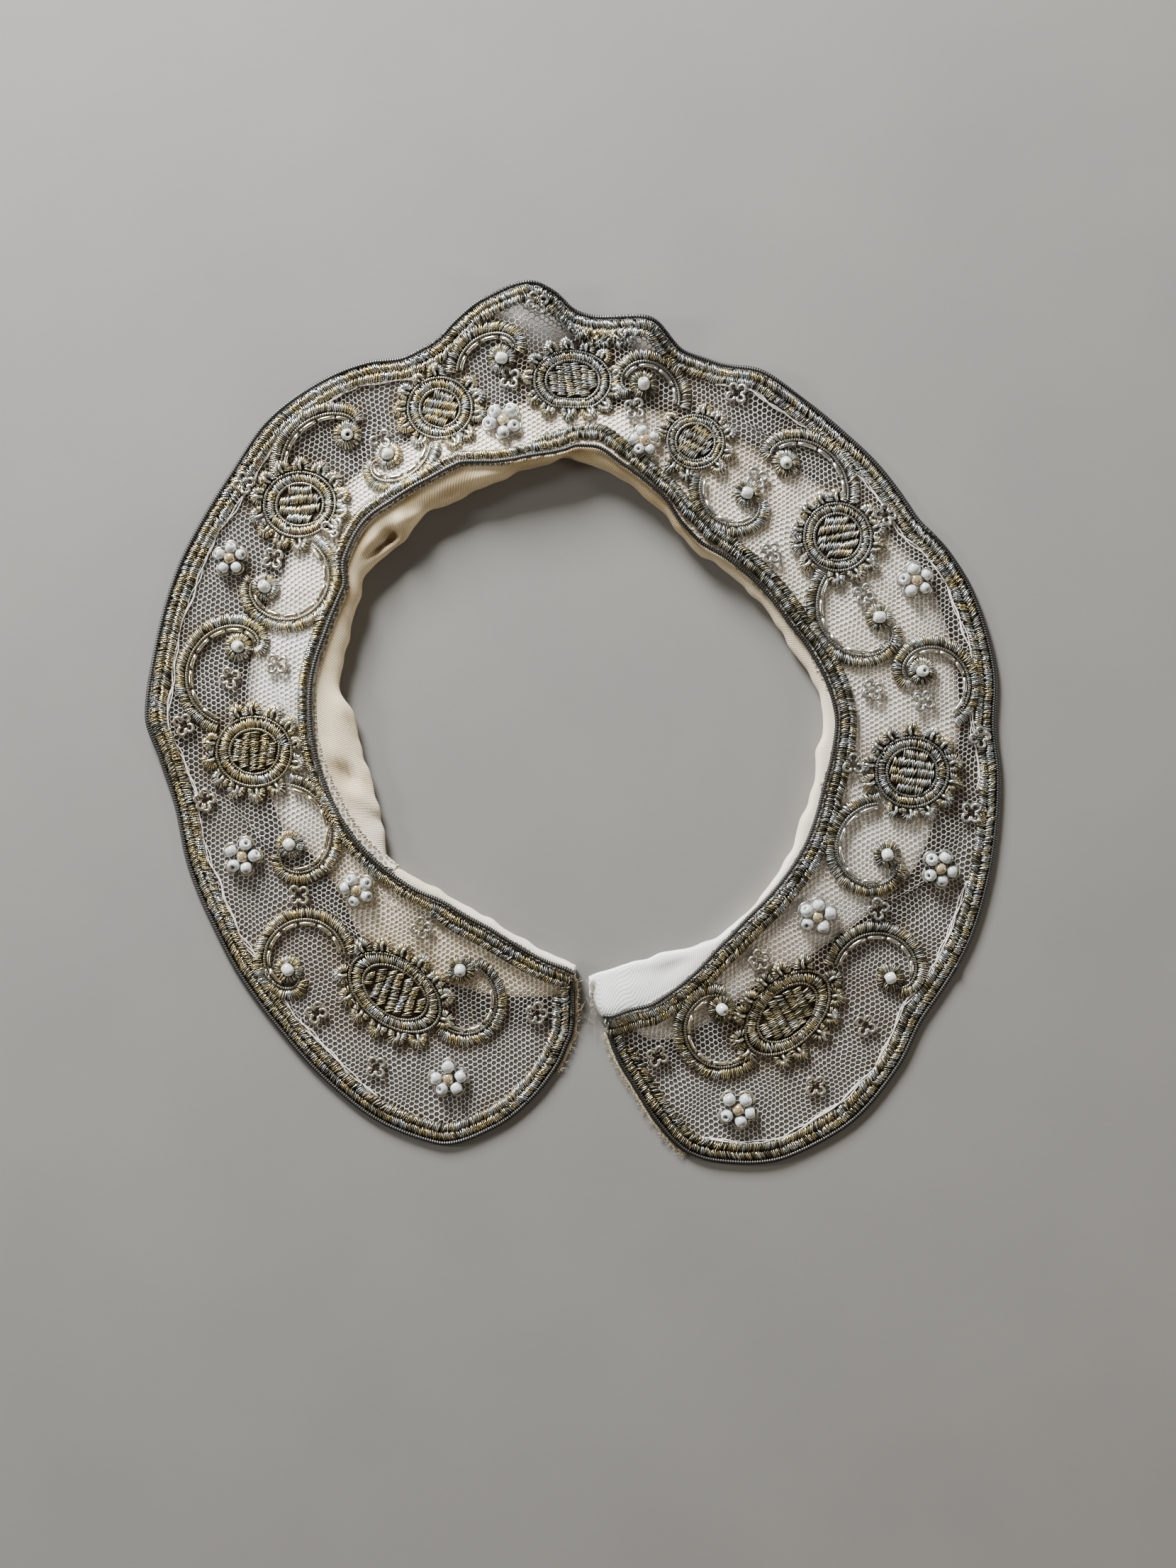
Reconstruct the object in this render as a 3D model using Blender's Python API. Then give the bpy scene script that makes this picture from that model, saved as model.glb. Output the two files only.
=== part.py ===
"""Beaded collar: a C of hexagonal net with metal thread embroidery, laid flat on a surface.

Every length below is in millimetres and every angle in degrees; the meshes are in metres, +Z up.
A bearing turns clockwise from +Y, seen from above, about the middle of the neck opening. The front
opening of the collar is at 180 degrees, towards -Y. The origin is at the bottom centre.
"""

import math
from bisect import bisect_right
from collections import namedtuple

import bmesh
import bpy
from mathutils import Vector

MM = 0.001
WELD = 1e-6

# Cloth and seams
NET_WALL = 1.0
SATIN_WALL = 1.0
GAP = 0.3
LAID_GAP = 0.4
FRONT_LEFT = -179.5
FRONT_RIGHT = 175.2
SATIN_END = 177.5
COARSE_STEP = 4.0
FINE_STEP = 1.7
SATIN_STEP = 5.4
TUCK_LEAST = 0.25
TUCK_MOST = 0.8
TUCK_SLOPE = 8.0
TUCK_SLOPE_SHARE = 0.6
SEAM_REACH = 3.0
SEAM_REACH_SHARE = 0.3
FOLD_TURNS = (0, 45, 90, 135, 180)
FLOOR_SNAP = 0.05

# Cords and borders
CORD_RADIUS = 0.55
CORD_SIDES = 5
EDGE_CORD_INSET = 0.75
NECK_CORD_INSET = 0.65
FRONT_CORD_START = 2.6
FRONT_BORDER_START = 6.0
FRONT_STRETCH = 159.0
RIPPLED_STRETCH = 25.0

# Embroidery
PETALS = 12
PETAL_NOTCH = 0.6
DRAW_IN = 0.2
BORDER_ROOM = 0.6
SCROLL_STATIONS = 13
SCROLL_CHECKS = 25
SCROLL_SPAN = 22.0
SCROLL_END_RADIUS = 4.6
SCROLL_OUT = 0.85
SCROLL_IN = 2.9
SCROLL_IN_AT_PEARL = 0.4
SCROLL_LEAST = 0.6
SCROLL_OUT_HEIGHT = 0.9
SCROLL_IN_HEIGHT = 1.2
BEADS = 5
FLOWER_REACH = 4.9

# A section of the collar: radii of the neck cord, of the satin's fold inside it, of the satin's hidden
# edge under the net and of the outer edge, and the height to which the folded satin lifts the net.
Section = namedtuple("Section", "bearing neck fold tuck edge lift")
SECTIONS = [
    Section(-179.5, 60.0, 58.5, 65.0, 76.0, 3.4),
    Section(-177.0, 59.0, 57.5, 66.0, 83.5, 3.4),
    Section(-173.5, 58.0, 56.5, 67.0, 92.0, 3.4),
    Section(-168.5, 56.5, 55.0, 68.0, 101.0, 3.4),
    Section(-161.5, 54.5, 53.0, 69.5, 108.5, 3.5),
    Section(-155.0, 53.5, 52.0, 70.5, 109.0, 3.6),
    Section(-145.0, 53.5, 52.0, 72.0, 107.0, 3.8),
    Section(-135.0, 56.0, 54.0, 74.0, 104.5, 4.0),
    Section(-125.0, 58.5, 56.5, 71.0, 103.0, 4.0),
    Section(-118.5, 60.0, 53.5, 71.5, 102.0, 4.0),
    Section(-110.0, 61.5, 52.0, 76.0, 101.5, 4.0),
    Section(-102.5, 62.5, 52.0, 77.0, 100.5, 4.0),
    Section(-95.0, 63.5, 53.0, 78.5, 102.5, 4.2),
    Section(-89.0, 64.0, 54.0, 80.0, 105.5, 4.4),
    Section(-80.0, 64.5, 58.5, 81.0, 105.0, 4.8),
    Section(-70.0, 64.0, 59.0, 81.0, 105.0, 5.2),
    Section(-60.0, 64.5, 61.0, 81.5, 104.5, 5.6),
    Section(-55.0, 68.0, 62.5, 82.0, 104.5, 5.8),
    Section(-46.0, 70.0, 61.0, 81.0, 105.5, 6.2),
    Section(-40.0, 69.0, 61.5, 81.0, 105.0, 6.4),
    Section(-35.0, 68.5, 62.5, 81.0, 104.0, 6.5),
    Section(-30.0, 68.0, 61.0, 79.5, 102.0, 6.6),
    Section(-25.0, 68.0, 61.5, 77.5, 99.0, 6.6),
    Section(-21.0, 66.5, 61.0, 76.0, 99.5, 6.6),
    Section(-17.0, 65.0, 61.5, 77.5, 103.0, 6.6),
    Section(-13.0, 64.5, 62.5, 79.0, 106.0, 6.5),
    Section(-6.5, 64.5, 63.0, 78.5, 107.5, 6.4),
    Section(-3.0, 65.0, 64.0, 77.0, 105.0, 6.3),
    Section(0.0, 66.0, 63.5, 76.0, 100.5, 6.2),
    Section(3.0, 66.0, 62.5, 76.5, 99.5, 6.0),
    Section(10.0, 62.5, 60.0, 78.0, 100.0, 5.8),
    Section(16.5, 59.5, 57.0, 78.5, 94.5, 5.6),
    Section(21.0, 57.5, 55.5, 78.5, 94.5, 5.4),
    Section(28.0, 53.5, 52.0, 79.0, 97.0, 5.0),
    Section(35.0, 52.0, 50.5, 80.5, 96.5, 4.6),
    Section(42.0, 53.0, 51.0, 82.0, 96.5, 4.4),
    Section(50.0, 54.0, 52.0, 84.0, 97.0, 4.2),
    Section(58.0, 55.0, 53.0, 89.0, 97.0, 4.0),
    Section(65.0, 56.0, 54.0, 91.5, 100.0, 3.8),
    Section(72.0, 58.0, 55.0, 92.5, 102.0, 3.6),
    Section(83.0, 61.0, 59.0, 93.0, 103.0, 3.5),
    Section(90.0, 62.0, 59.5, 93.0, 102.0, 3.5),
    Section(97.0, 61.5, 58.5, 91.5, 104.0, 3.5),
    Section(105.0, 61.0, 59.0, 90.0, 106.0, 3.5),
    Section(112.0, 61.5, 59.0, 89.5, 108.0, 3.5),
    Section(120.0, 62.0, 60.0, 86.0, 110.0, 3.5),
    Section(130.0, 62.0, 61.0, 81.5, 111.0, 3.4),
    Section(137.0, 62.0, 61.5, 79.5, 115.0, 3.4),
    Section(147.0, 63.5, 62.0, 75.0, 118.5, 3.4),
    Section(154.0, 66.0, 60.5, 71.5, 118.0, 3.4),
    Section(162.5, 69.0, 59.5, 70.5, 112.5, 3.4),
    Section(166.0, 70.0, 59.5, 70.0, 108.0, 3.4),
    Section(169.0, 70.0, 59.5, 70.5, 99.5, 3.4),
    Section(171.5, 70.5, 60.0, 70.5, 89.5, 3.2),
    Section(173.7, 71.0, 60.5, 71.0, 82.0, 3.0),
    Section(175.2, 70.5, 61.0, 70.5, 75.0, 2.6),
    Section(177.5, 65.0, 62.0, 64.0, 75.0, 2.8),
]

# A ripple that lifts the outer edge: where it is, how wide, and how high at the edge.
Ripple = namedtuple("Ripple", "bearing width lift")
RIPPLES = [
    Ripple(-88.0, 7.0, 1.2),
    Ripple(-44.0, 7.0, 2.2),
    Ripple(-6.5, 4.6, 6.0),
    Ripple(9.5, 4.2, 4.6),
    Ripple(29.0, 5.5, 2.0),
]

# How wide the chip rows along the neck are: one row or two.
NeckRows = namedtuple("NeckRows", "bearing width")
NECK_ROWS = [
    NeckRows(-180.0, 3.6),
    NeckRows(-148.0, 3.6),
    NeckRows(-136.0, 2.0),
    NeckRows(-30.0, 2.0),
    NeckRows(24.0, 2.2),
    NeckRows(34.0, 3.8),
    NeckRows(180.0, 3.8),
]

# Where the neck cord stands away from the chip rows: how wide the stretch is, and how far apart.
CordGap = namedtuple("CordGap", "bearing width gap")
CORD_GAPS = [CordGap(5.0, 8.0, 1.1), CordGap(31.0, 7.0, 0.9)]

# Cross-sections, from the outer side inwards: how far in, and how high.
Rib = namedtuple("Rib", "inset height")
EDGE_RIBS = [Rib(1.6, 0.5), Rib(2.5, 1.2), Rib(3.4, 0.7), Rib(4.3, 1.2), Rib(5.1, 0.5)]
NECK_RIBS = [Rib(0.0, 0.5), Rib(0.3, 1.2), Rib(0.7, 1.2), Rib(1.0, 0.5)]

# A medallion: its centre, the half-axes of its outer cord ring, the turn of the long one, and the length
# of its petals.
Medallion = namedtuple("Medallion", "x y long short turn petal")
MEDALLIONS = [
    Medallion(-44.5, -65.5, 12.4, 7.9, -36, 4.0),
    Medallion(-78.5, -7.0, 9.5, 8.4, 0, 4.0),
    Medallion(-67.5, 53.0, 8.8, 8.0, 0, 4.0),
    Medallion(-33.5, 76.5, 7.9, 7.4, 0, 3.8),
    Medallion(-1.2, 83.0, 9.0, 6.7, 0, 3.2),
    Medallion(28.5, 68.0, 6.8, 6.5, 0, 3.6),
    Medallion(63.0, 45.0, 8.3, 8.3, 0, 4.0),
    Medallion(81.0, -12.0, 9.0, 8.2, 0, 4.0),
    Medallion(51.0, -70.5, 12.1, 7.6, 45, 4.0),
]

# Rings of a medallion from its underside up to its crown: share of the cord ring, share of the petals
# beyond it, and height.
Ring = namedtuple("Ring", "share petal height")
MEDALLION_RINGS = [
    Ring(0.85, 0.0, 0.0),
    Ring(1.0, 1.0, 0.0),
    Ring(1.0, 1.0, 0.6),
    Ring(1.0, 0.0, 1.7),
    Ring(0.66, 0.0, 1.0),
    Ring(0.4, 0.0, 1.5),
]

# A scroll: the name, where it springs from its medallion, the centre of its large arc, the pearl that
# it curls round, its hand (1 is anticlockwise) and how far it turns.
Scroll = namedtuple("Scroll", "name foot_x foot_y arc_x arc_y pearl_x pearl_y hand turn")
SCROLLS = [
    Scroll("1a", -55.0, -57.0, -67.0, -57.5, -70.5, -60.0, 1, 320),
    Scroll("1b", -35.0, -73.5, -25.0, -65.5, -28.5, -60.0, 1, 170),
    Scroll("2a", -88.0, -1.5, -83.0, 12.0, -82.5, 18.5, -1, 265),
    Scroll("2b", -69.5, -13.5, -71.5, -28.0, -70.0, -29.5, -1, 220),
    Scroll("3a", -73.5, 60.0, -57.5, 62.5, -56.0, 70.0, -1, 135),
    Scroll("3b", -64.0, 45.0, -70.5, 34.0, -76.0, 33.0, -1, 270),
    Scroll("4a", -31.0, 85.5, -18.5, 85.0, -18.5, 88.5, -1, 155),
    Scroll("4b", -34.0, 67.5, -47.5, 68.5, -46.0, 65.0, -1, 150),
    Scroll("6a", 26.0, 76.5, 15.5, 79.0, 16.0, 82.0, 1, 225),
    Scroll("6b", 28.5, 60.0, 40.5, 56.0, 41.0, 55.5, 1, 170),
    Scroll("7a", 67.0, 53.5, 52.0, 56.5, 50.5, 63.0, 1, 170),
    Scroll("7b", 59.5, 37.5, 72.5, 27.0, 73.0, 25.5, 1, 190),
    Scroll("8a", 92.0, 0.0, 85.5, 9.5, 83.5, 12.5, 1, 280),
    Scroll("8b", 74.5, -18.0, 73.5, -32.0, 75.0, -32.0, 1, 240),
    Scroll("9a", 61.0, -58.5, 74.0, -62.0, 76.0, -62.0, -1, 215),
    Scroll("9b", 43.0, -82.0, 34.0, -73.5, 35.0, -69.5, -1, 230),
]

# Turned forms, from the underside up to the crown: radius and height.
Turned = namedtuple("Turned", "radius height")
PEARL_PROFILE = [
    Turned(3.5, 0.0),
    Turned(3.5, 0.6),
    Turned(2.3, 1.2),
    Turned(2.0, 2.4),
    Turned(1.1, 3.6),
]
PEARL_SIDES = 8

# A bead flower's rings: radius and height in line with a bead, and beside it.
BeadRing = namedtuple("BeadRing", "radius height side_radius side_height")
FLOWER_RINGS = [
    BeadRing(4.7, 0.0, 4.3, 0.0),
    BeadRing(4.7, 1.2, 4.3, 0.9),
    BeadRing(3.1, 2.7, 3.1, 1.8),
    BeadRing(1.7, 1.4, 1.7, 1.4),
    BeadRing(0.8, 2.4, 0.8, 2.4),
]
FLOWER_SIDES = 15

# A bead flower: its centre, how far it is turned, and its size beside the others.
Spot = namedtuple("Spot", "x y turn size")
BEAD_FLOWERS = [
    Spot(-81.5, -32.5, 8, 1.0),
    Spot(-53.5, -40.5, 40, 0.95),
    Spot(-31.5, -86.5, 20, 1.0),
    Spot(39.0, -94.0, 55, 1.05),
    Spot(58.0, -47.0, 12, 1.0),
    Spot(88.0, -35.5, 66, 1.0),
    Spot(82.0, 34.5, 30, 0.95),
    Spot(16.0, 68.0, 20, 0.85),
    Spot(-18.0, 73.0, 48, 1.0),
    Spot(-84.5, 40.0, 15, 0.9),
]

# Colours are linear, with roughness and metallic value.
Finish = namedtuple("Finish", "colour roughness metallic")
NET_FINISH = Finish((0.62, 0.58, 0.50), 0.85, 0.0)
SATIN_FINISH = Finish((0.61, 0.50, 0.31), 0.45, 0.0)
CORD_FINISH = Finish((0.09, 0.085, 0.075), 0.35, 1.0)
CHIP_FINISH = Finish((0.32, 0.28, 0.20), 0.3, 1.0)
GOLD_FINISH = Finish((0.42, 0.34, 0.20), 0.3, 1.0)
PEARL_FINISH = Finish((0.74, 0.73, 0.70), 0.25, 0.0)
BEAD_FINISH = Finish((0.70, 0.74, 0.75), 0.2, 0.0)


def clear_scene():
    for obj in list(bpy.data.objects):
        bpy.data.objects.remove(obj, do_unlink=True)


def slope_at(places, values, index):
    """Slope of the smooth curve at one of its points, level at a peak or a dip."""
    if index in (0, len(places) - 1):
        return 0.0
    before = (values[index] - values[index - 1]) / (places[index] - places[index - 1])
    after = (values[index + 1] - values[index]) / (places[index + 1] - places[index])
    if before * after <= 0:
        return 0.0
    return 2 * before * after / (before + after)


def read_column(rows, column, bearing):
    """A column of a table at any bearing, on a smooth curve through its rows."""
    places = [row.bearing for row in rows]
    values = [getattr(row, column) for row in rows]
    bearing = min(max(bearing, places[0]), places[-1])
    right = min(max(bisect_right(places, bearing), 1), len(rows) - 1)
    left = right - 1
    span = places[right] - places[left]
    t = (bearing - places[left]) / span
    start = slope_at(places, values, left) * span
    end = slope_at(places, values, right) * span
    cubic = 2 * (values[left] - values[right]) + start + end
    square = 3 * (values[right] - values[left]) - 2 * start - end
    return ((cubic * t + square) * t + start) * t + values[left]


def section_at(bearing):
    """The collar's section at any bearing, with the hidden edge kept between neck and outer edge."""
    neck, fold, tuck, edge, lift = (read_column(SECTIONS, name, bearing) for name in Section._fields[1:])
    width = edge - neck
    tuck = min(max(tuck, neck + TUCK_LEAST * width), neck + TUCK_MOST * width)
    return Section(bearing, neck, fold, tuck, edge, lift)


def level_radius(section):
    """Where the net comes down to the floor, outside the satin's hidden edge."""
    room = section.edge - section.tuck
    return section.tuck + min(TUCK_SLOPE, TUCK_SLOPE_SHARE * room)


def net_underside(bearing, radius):
    """Height of the net's underside: lifted by the satin at the neck, level further out, rippled."""
    section = section_at(bearing)
    level = level_radius(section)
    rest = SATIN_WALL + GAP
    if radius < section.tuck:
        share = (section.tuck - radius) / (section.tuck - section.neck)
        height = rest + (section.lift - rest) * min(share, 1.0)
    else:
        height = rest * max((level - radius) / (level - section.tuck), 0.0)
    outward = min(max((radius - section.neck) / (section.edge - section.neck), 0.0), 1.0)
    for ripple in RIPPLES:
        bump = math.exp(-(((bearing - ripple.bearing) / ripple.width) ** 2))
        if ripple.lift * bump > 0.02:
            height += ripple.lift * bump * outward**1.5
    return height


def at_bearing(bearing, radius):
    angle = math.radians(bearing)
    return radius * math.sin(angle), radius * math.cos(angle)


def bearing_of(x, y):
    return math.degrees(math.atan2(x, y))


def net_top(x, y):
    return net_underside(bearing_of(x, y), math.hypot(x, y)) + NET_WALL


def on_net(x, y, height):
    """A point on what is laid on the net, this far above its underside."""
    return Vector((x, y, net_top(x, y) + LAID_GAP + height))


def neck_reach(bearing):
    """How far the neck's cord and chip rows reach out from the neck line."""
    reach = NECK_CORD_INSET + 2 * CORD_RADIUS + read_column(NECK_ROWS, "width", bearing)
    for place in CORD_GAPS:
        reach += place.gap * math.exp(-(((bearing - place.bearing) / place.width) ** 2))
    return reach


def clears_borders(point):
    """Whether a point lies between the neck's rows and the outer edge's rows, with room to spare."""
    bearing = bearing_of(*point)
    section = section_at(bearing)
    rise = section_at(bearing + 1).edge - section_at(bearing - 1).edge
    slant = math.atan2(rise, 2 * math.radians(1) * section.edge)
    radius = math.hypot(*point)
    outside = (section.edge - radius) * math.cos(slant)
    inside = radius - section.neck
    return outside > EDGE_RIBS[-1].inset + BORDER_ROOM and inside > neck_reach(bearing) + BORDER_ROOM


def clears_flowers(point):
    """Whether a point lies clear of every bead flower."""
    return all(
        math.hypot(point[0] - flower.x, point[1] - flower.y) > FLOWER_REACH * flower.size + GAP
        for flower in BEAD_FLOWERS
    )


def section_bearings():
    """Bearings of the net's sections, closer together at the rippled back and at the fronts."""
    bearings = [FRONT_LEFT]
    while bearings[-1] < FRONT_RIGHT:
        fine = abs(bearings[-1]) < RIPPLED_STRETCH or abs(bearings[-1]) > FRONT_STRETCH
        bearings.append(bearings[-1] + (FINE_STEP if fine else COARSE_STEP))
    bearings[-1] = FRONT_RIGHT
    return bearings


def inset_path(points, distance):
    """The same path, moved sideways to the right of its direction by this distance."""
    moved = []
    for index, point in enumerate(points):
        before = points[max(index - 1, 0)]
        after = points[min(index + 1, len(points) - 1)]
        run = (Vector(after) - Vector(before)).normalized()
        moved.append((point[0] + run.y * distance, point[1] - run.x * distance))
    return moved


def edge_path():
    """The outer edge from the left front's neck corner, round the collar, to the right front's corner."""
    left = section_at(FRONT_LEFT)
    points = [at_bearing(FRONT_LEFT, left.neck + FRONT_CORD_START)]
    points.append(at_bearing(FRONT_LEFT, left.neck + FRONT_BORDER_START))
    points.append(at_bearing(FRONT_LEFT, (left.neck + FRONT_BORDER_START + left.edge) / 2))
    points += [at_bearing(bearing, section_at(bearing).edge) for bearing in section_bearings()]
    return points


def neck_path():
    """The neck line from the left front to the right front: at the fronts every section, else half."""
    path = []
    for index, bearing in enumerate(section_bearings()):
        if index % 2 == 0 or abs(bearing) > FRONT_STRETCH:
            path.append(at_bearing(bearing, section_at(bearing).neck))
    return path


def solid_through(name, rings, finish):
    """One closed solid through rings of points in millimetres, capped at both ends."""
    count = len(rings[0])
    bm = bmesh.new()
    bmesh.ops.create_grid(bm, x_segments=count, y_segments=len(rings) - 1, size=1)
    bm.verts.ensure_lookup_table()
    for index, vert in enumerate(bm.verts):
        row, column = divmod(index, count + 1)
        vert.co = Vector(rings[row][column % count]) * MM
    bmesh.ops.remove_doubles(bm, verts=bm.verts, dist=WELD)
    ends = [edge for edge in bm.edges if edge.is_boundary]
    caps = bmesh.ops.holes_fill(bm, edges=ends)["faces"]
    bmesh.ops.triangulate(bm, faces=caps)
    bmesh.ops.recalc_face_normals(bm, faces=bm.faces)
    mesh = bpy.data.meshes.new(name)
    bm.to_mesh(mesh)
    bm.free()
    mesh.shade_smooth()
    mesh.set_sharp_from_angle(angle=math.radians(50))
    obj = bpy.data.objects.new(name, mesh)
    bpy.context.collection.objects.link(obj)
    mesh.materials.append(material(name, finish))
    return obj


def material(name, finish):
    made = bpy.data.materials.new(name)
    made.use_nodes = True
    shader = made.node_tree.nodes["Principled BSDF"]
    shader.inputs["Base Color"].default_value = (*finish.colour, 1)
    shader.inputs["Roughness"].default_value = finish.roughness
    shader.inputs["Metallic"].default_value = finish.metallic
    return made


def add_net():
    """The net ground: a wall from the neck out to the edge, level where it meets the floor."""
    rings = []
    for bearing in section_bearings():
        section = section_at(bearing)
        level = level_radius(section)
        radii = [section.neck, section.tuck, level, (level + section.edge) / 2, section.edge]
        under = [(radius, net_underside(bearing, radius)) for radius in radii]
        over = [(radius, height + NET_WALL) for radius, height in reversed(under)]
        rings.append([(*at_bearing(bearing, radius), height) for radius, height in under + over])
    return solid_through("net_ground", rings, NET_FINISH)


def satin_line(bearing):
    """Middle of the satin's wall, from its seam under the net, round the fold, to its hidden edge."""
    section = section_at(bearing)
    half = SATIN_WALL / 2
    reach = min(SEAM_REACH, SEAM_REACH_SHARE * (section.tuck - section.neck))
    seam = section.neck + reach
    line = [(seam, net_underside(bearing, seam) - GAP - half)]
    top = net_underside(bearing, section.neck) - GAP - half
    deep = section.neck - section.fold - half
    for turn in FOLD_TURNS:
        angle = math.radians(turn)
        radius = section.neck - deep * math.sin(angle)
        line.append((radius, half + (top - half) * (1 + math.cos(angle)) / 2))
    line.append((section.tuck, half))
    return line


def wall_sides(line, thickness):
    """Points on both sides of a wall with this middle line."""
    sides = []
    for index, point in enumerate(line):
        before = Vector(line[max(index - 1, 0)])
        after = Vector(line[min(index + 1, len(line) - 1)])
        run = (after - before).normalized()
        across = Vector((run.y, -run.x)) * thickness / 2
        sides.append((Vector(point) + across, Vector(point) - across))
    return [side[0] for side in sides] + [side[1] for side in reversed(sides)]


def add_neckband():
    """The satin strip: seamed under the neck edge, folded inside it and turned back along the floor."""
    count = round((SATIN_END - FRONT_LEFT) / SATIN_STEP)
    rings = []
    for index in range(count + 1):
        bearing = FRONT_LEFT + (SATIN_END - FRONT_LEFT) * index / count
        ring = wall_sides(satin_line(bearing), SATIN_WALL)
        flat = [(radius, 0.0 if height < FLOOR_SNAP else height) for radius, height in ring]
        rings.append([(*at_bearing(bearing, radius), height) for radius, height in flat])
    return solid_through("neckband", rings, SATIN_FINISH)


def ribbed_strip(name, path, ribs, finish):
    """A strip along a path on the net, with a raised outline across it."""
    lines = [inset_path(path, rib.inset) for rib in ribs]
    rings = []
    for index in range(len(path)):
        top = [on_net(*line[index], rib.height) for line, rib in zip(lines, ribs)]
        rings.append([on_net(*lines[0][index], 0)] + top + [on_net(*lines[-1][index], 0)])
    return solid_through(name, rings, finish)


def add_outer_border():
    return ribbed_strip("outer_border", edge_path()[1:-3], EDGE_RIBS, CHIP_FINISH)


def add_neck_border():
    """The chip rows round the neck, one or two of them, clear of the neck cord."""
    path = neck_path()[1:-1]
    rings = []
    for point in path:
        bearing = bearing_of(*point)
        width = read_column(NECK_ROWS, "width", bearing)
        start = math.hypot(*point) + neck_reach(bearing) - width
        radii = [start + rib.inset * width for rib in NECK_RIBS]
        spots = [at_bearing(bearing, radius) for radius in radii]
        top = [on_net(*spot, rib.height) for spot, rib in zip(spots, NECK_RIBS)]
        rings.append([on_net(*spots[0], 0)] + top + [on_net(*spots[-1], 0)])
    return solid_through("neck_border", rings, CHIP_FINISH)


def cord_along(name, path):
    """A round cord that lies on the net along a path."""
    rings = []
    for index, point in enumerate(path):
        before = Vector(path[max(index - 1, 0)])
        after = Vector(path[min(index + 1, len(path) - 1)])
        run = (after - before).normalized()
        side = Vector((run.y, -run.x, 0)) * CORD_RADIUS
        up = Vector((0, 0, CORD_RADIUS))
        middle = on_net(*point, CORD_RADIUS)
        turns = [2 * math.pi * (step + 0.25) / CORD_SIDES for step in range(CORD_SIDES)]
        rings.append([middle + side * math.cos(turn) + up * math.sin(turn) for turn in turns])
    return solid_through(name, rings, CORD_FINISH)


def add_outer_cord():
    return cord_along("outer_cord", inset_path(edge_path(), EDGE_CORD_INSET)[:-1])


def add_neck_cord():
    path = []
    for point in neck_path():
        radius = math.hypot(*point) + NECK_CORD_INSET
        path.append(at_bearing(bearing_of(*point), radius))
    return cord_along("neck_cord", path)


def oval_point(medallion, angle, share, beyond):
    """A point of a medallion: a share of its cord ring, then a length beyond it."""
    x = medallion.long * share * math.cos(angle)
    y = medallion.short * share * math.sin(angle)
    outward = Vector((medallion.short * math.cos(angle), medallion.long * math.sin(angle))).normalized()
    point = Vector((x, y)) + outward * beyond
    turn = math.radians(medallion.turn)
    return (
        medallion.x + point.x * math.cos(turn) - point.y * math.sin(turn),
        medallion.y + point.x * math.sin(turn) + point.y * math.cos(turn),
    )


def clears_scrolls(point):
    """Whether a point lies clear of every scroll's outer side."""
    for scroll in SCROLLS:
        if math.hypot(point[0] - scroll.arc_x, point[1] - scroll.arc_y) > SCROLL_SPAN:
            continue
        start = scroll_starts(scroll)
        for step in range(SCROLL_CHECKS):
            line = scroll_point(scroll, start + (1 - start) * step / SCROLL_CHECKS)[0]
            if math.hypot(point[0] - line.x, point[1] - line.y) < SCROLL_OUT + BORDER_ROOM:
                return False
    return True


def petal_reach(medallion, step):
    """How far a petal, or the notch beside it, reaches: it ends early where another piece is near."""
    angle = math.pi * step / PETALS
    full = medallion.petal * (PETAL_NOTCH if step % 2 else 1)
    reach = DRAW_IN
    while reach < full:
        spot = oval_point(medallion, angle, 1, reach + DRAW_IN)
        if not (clears_borders(spot) and clears_flowers(spot) and clears_scrolls(spot)):
            break
        reach += DRAW_IN
    return reach


def add_medallion(number, medallion):
    reaches = [petal_reach(medallion, step) for step in range(2 * PETALS)]
    rings = []
    for ring in MEDALLION_RINGS:
        points = []
        for step, reach in enumerate(reaches):
            spot = oval_point(medallion, math.pi * step / PETALS, ring.share, ring.petal * reach)
            points.append(on_net(*spot, ring.height))
        rings.append(points)
    return solid_through(f"medallion_{number}", rings, GOLD_FINISH)


def scroll_point(scroll, share):
    """A point of a scroll's line and the direction towards the inside of its curl."""
    foot = Vector((scroll.foot_x - scroll.arc_x, scroll.foot_y - scroll.arc_y))
    drift = share**2
    centre_x = scroll.arc_x + (scroll.pearl_x - scroll.arc_x) * drift
    centre_y = scroll.arc_y + (scroll.pearl_y - scroll.arc_y) * drift
    radius = foot.length + (SCROLL_END_RADIUS - foot.length) * drift
    angle = math.atan2(foot.y, foot.x) + math.radians(scroll.hand * scroll.turn * share)
    inward = Vector((-math.cos(angle), -math.sin(angle)))
    return Vector((centre_x, centre_y)) - inward * radius, inward


def outside_medallions(point):
    """Whether a scroll's strip at this point clears the petals of every medallion."""
    for medallion in MEDALLIONS:
        turn = math.radians(-medallion.turn)
        x = point.x - medallion.x
        y = point.y - medallion.y
        along = x * math.cos(turn) - y * math.sin(turn)
        across = x * math.sin(turn) + y * math.cos(turn)
        room = medallion.petal + GAP
        if math.hypot(along / (medallion.long + room), across / (medallion.short + room)) < 1:
            return False
    return True


def scroll_rails(scroll, share):
    """Outer and inner side of a scroll's strip, drawn in at the pearl and where a border is near."""
    point, inward = scroll_point(scroll, share)
    inner = SCROLL_IN + (SCROLL_IN_AT_PEARL - SCROLL_IN) * share**2
    outer = -SCROLL_OUT
    while outer < inner - SCROLL_LEAST and not clears_borders(point + inward * outer):
        outer += DRAW_IN
    return point + inward * outer, point + inward * inner


def scroll_starts(scroll):
    """Share of the turn at which the strip has left its medallion's petals."""
    for step in range(100):
        rails = scroll_rails(scroll, step / 100)
        if all(outside_medallions(rail) for rail in rails):
            return step / 100
    return 0


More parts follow.
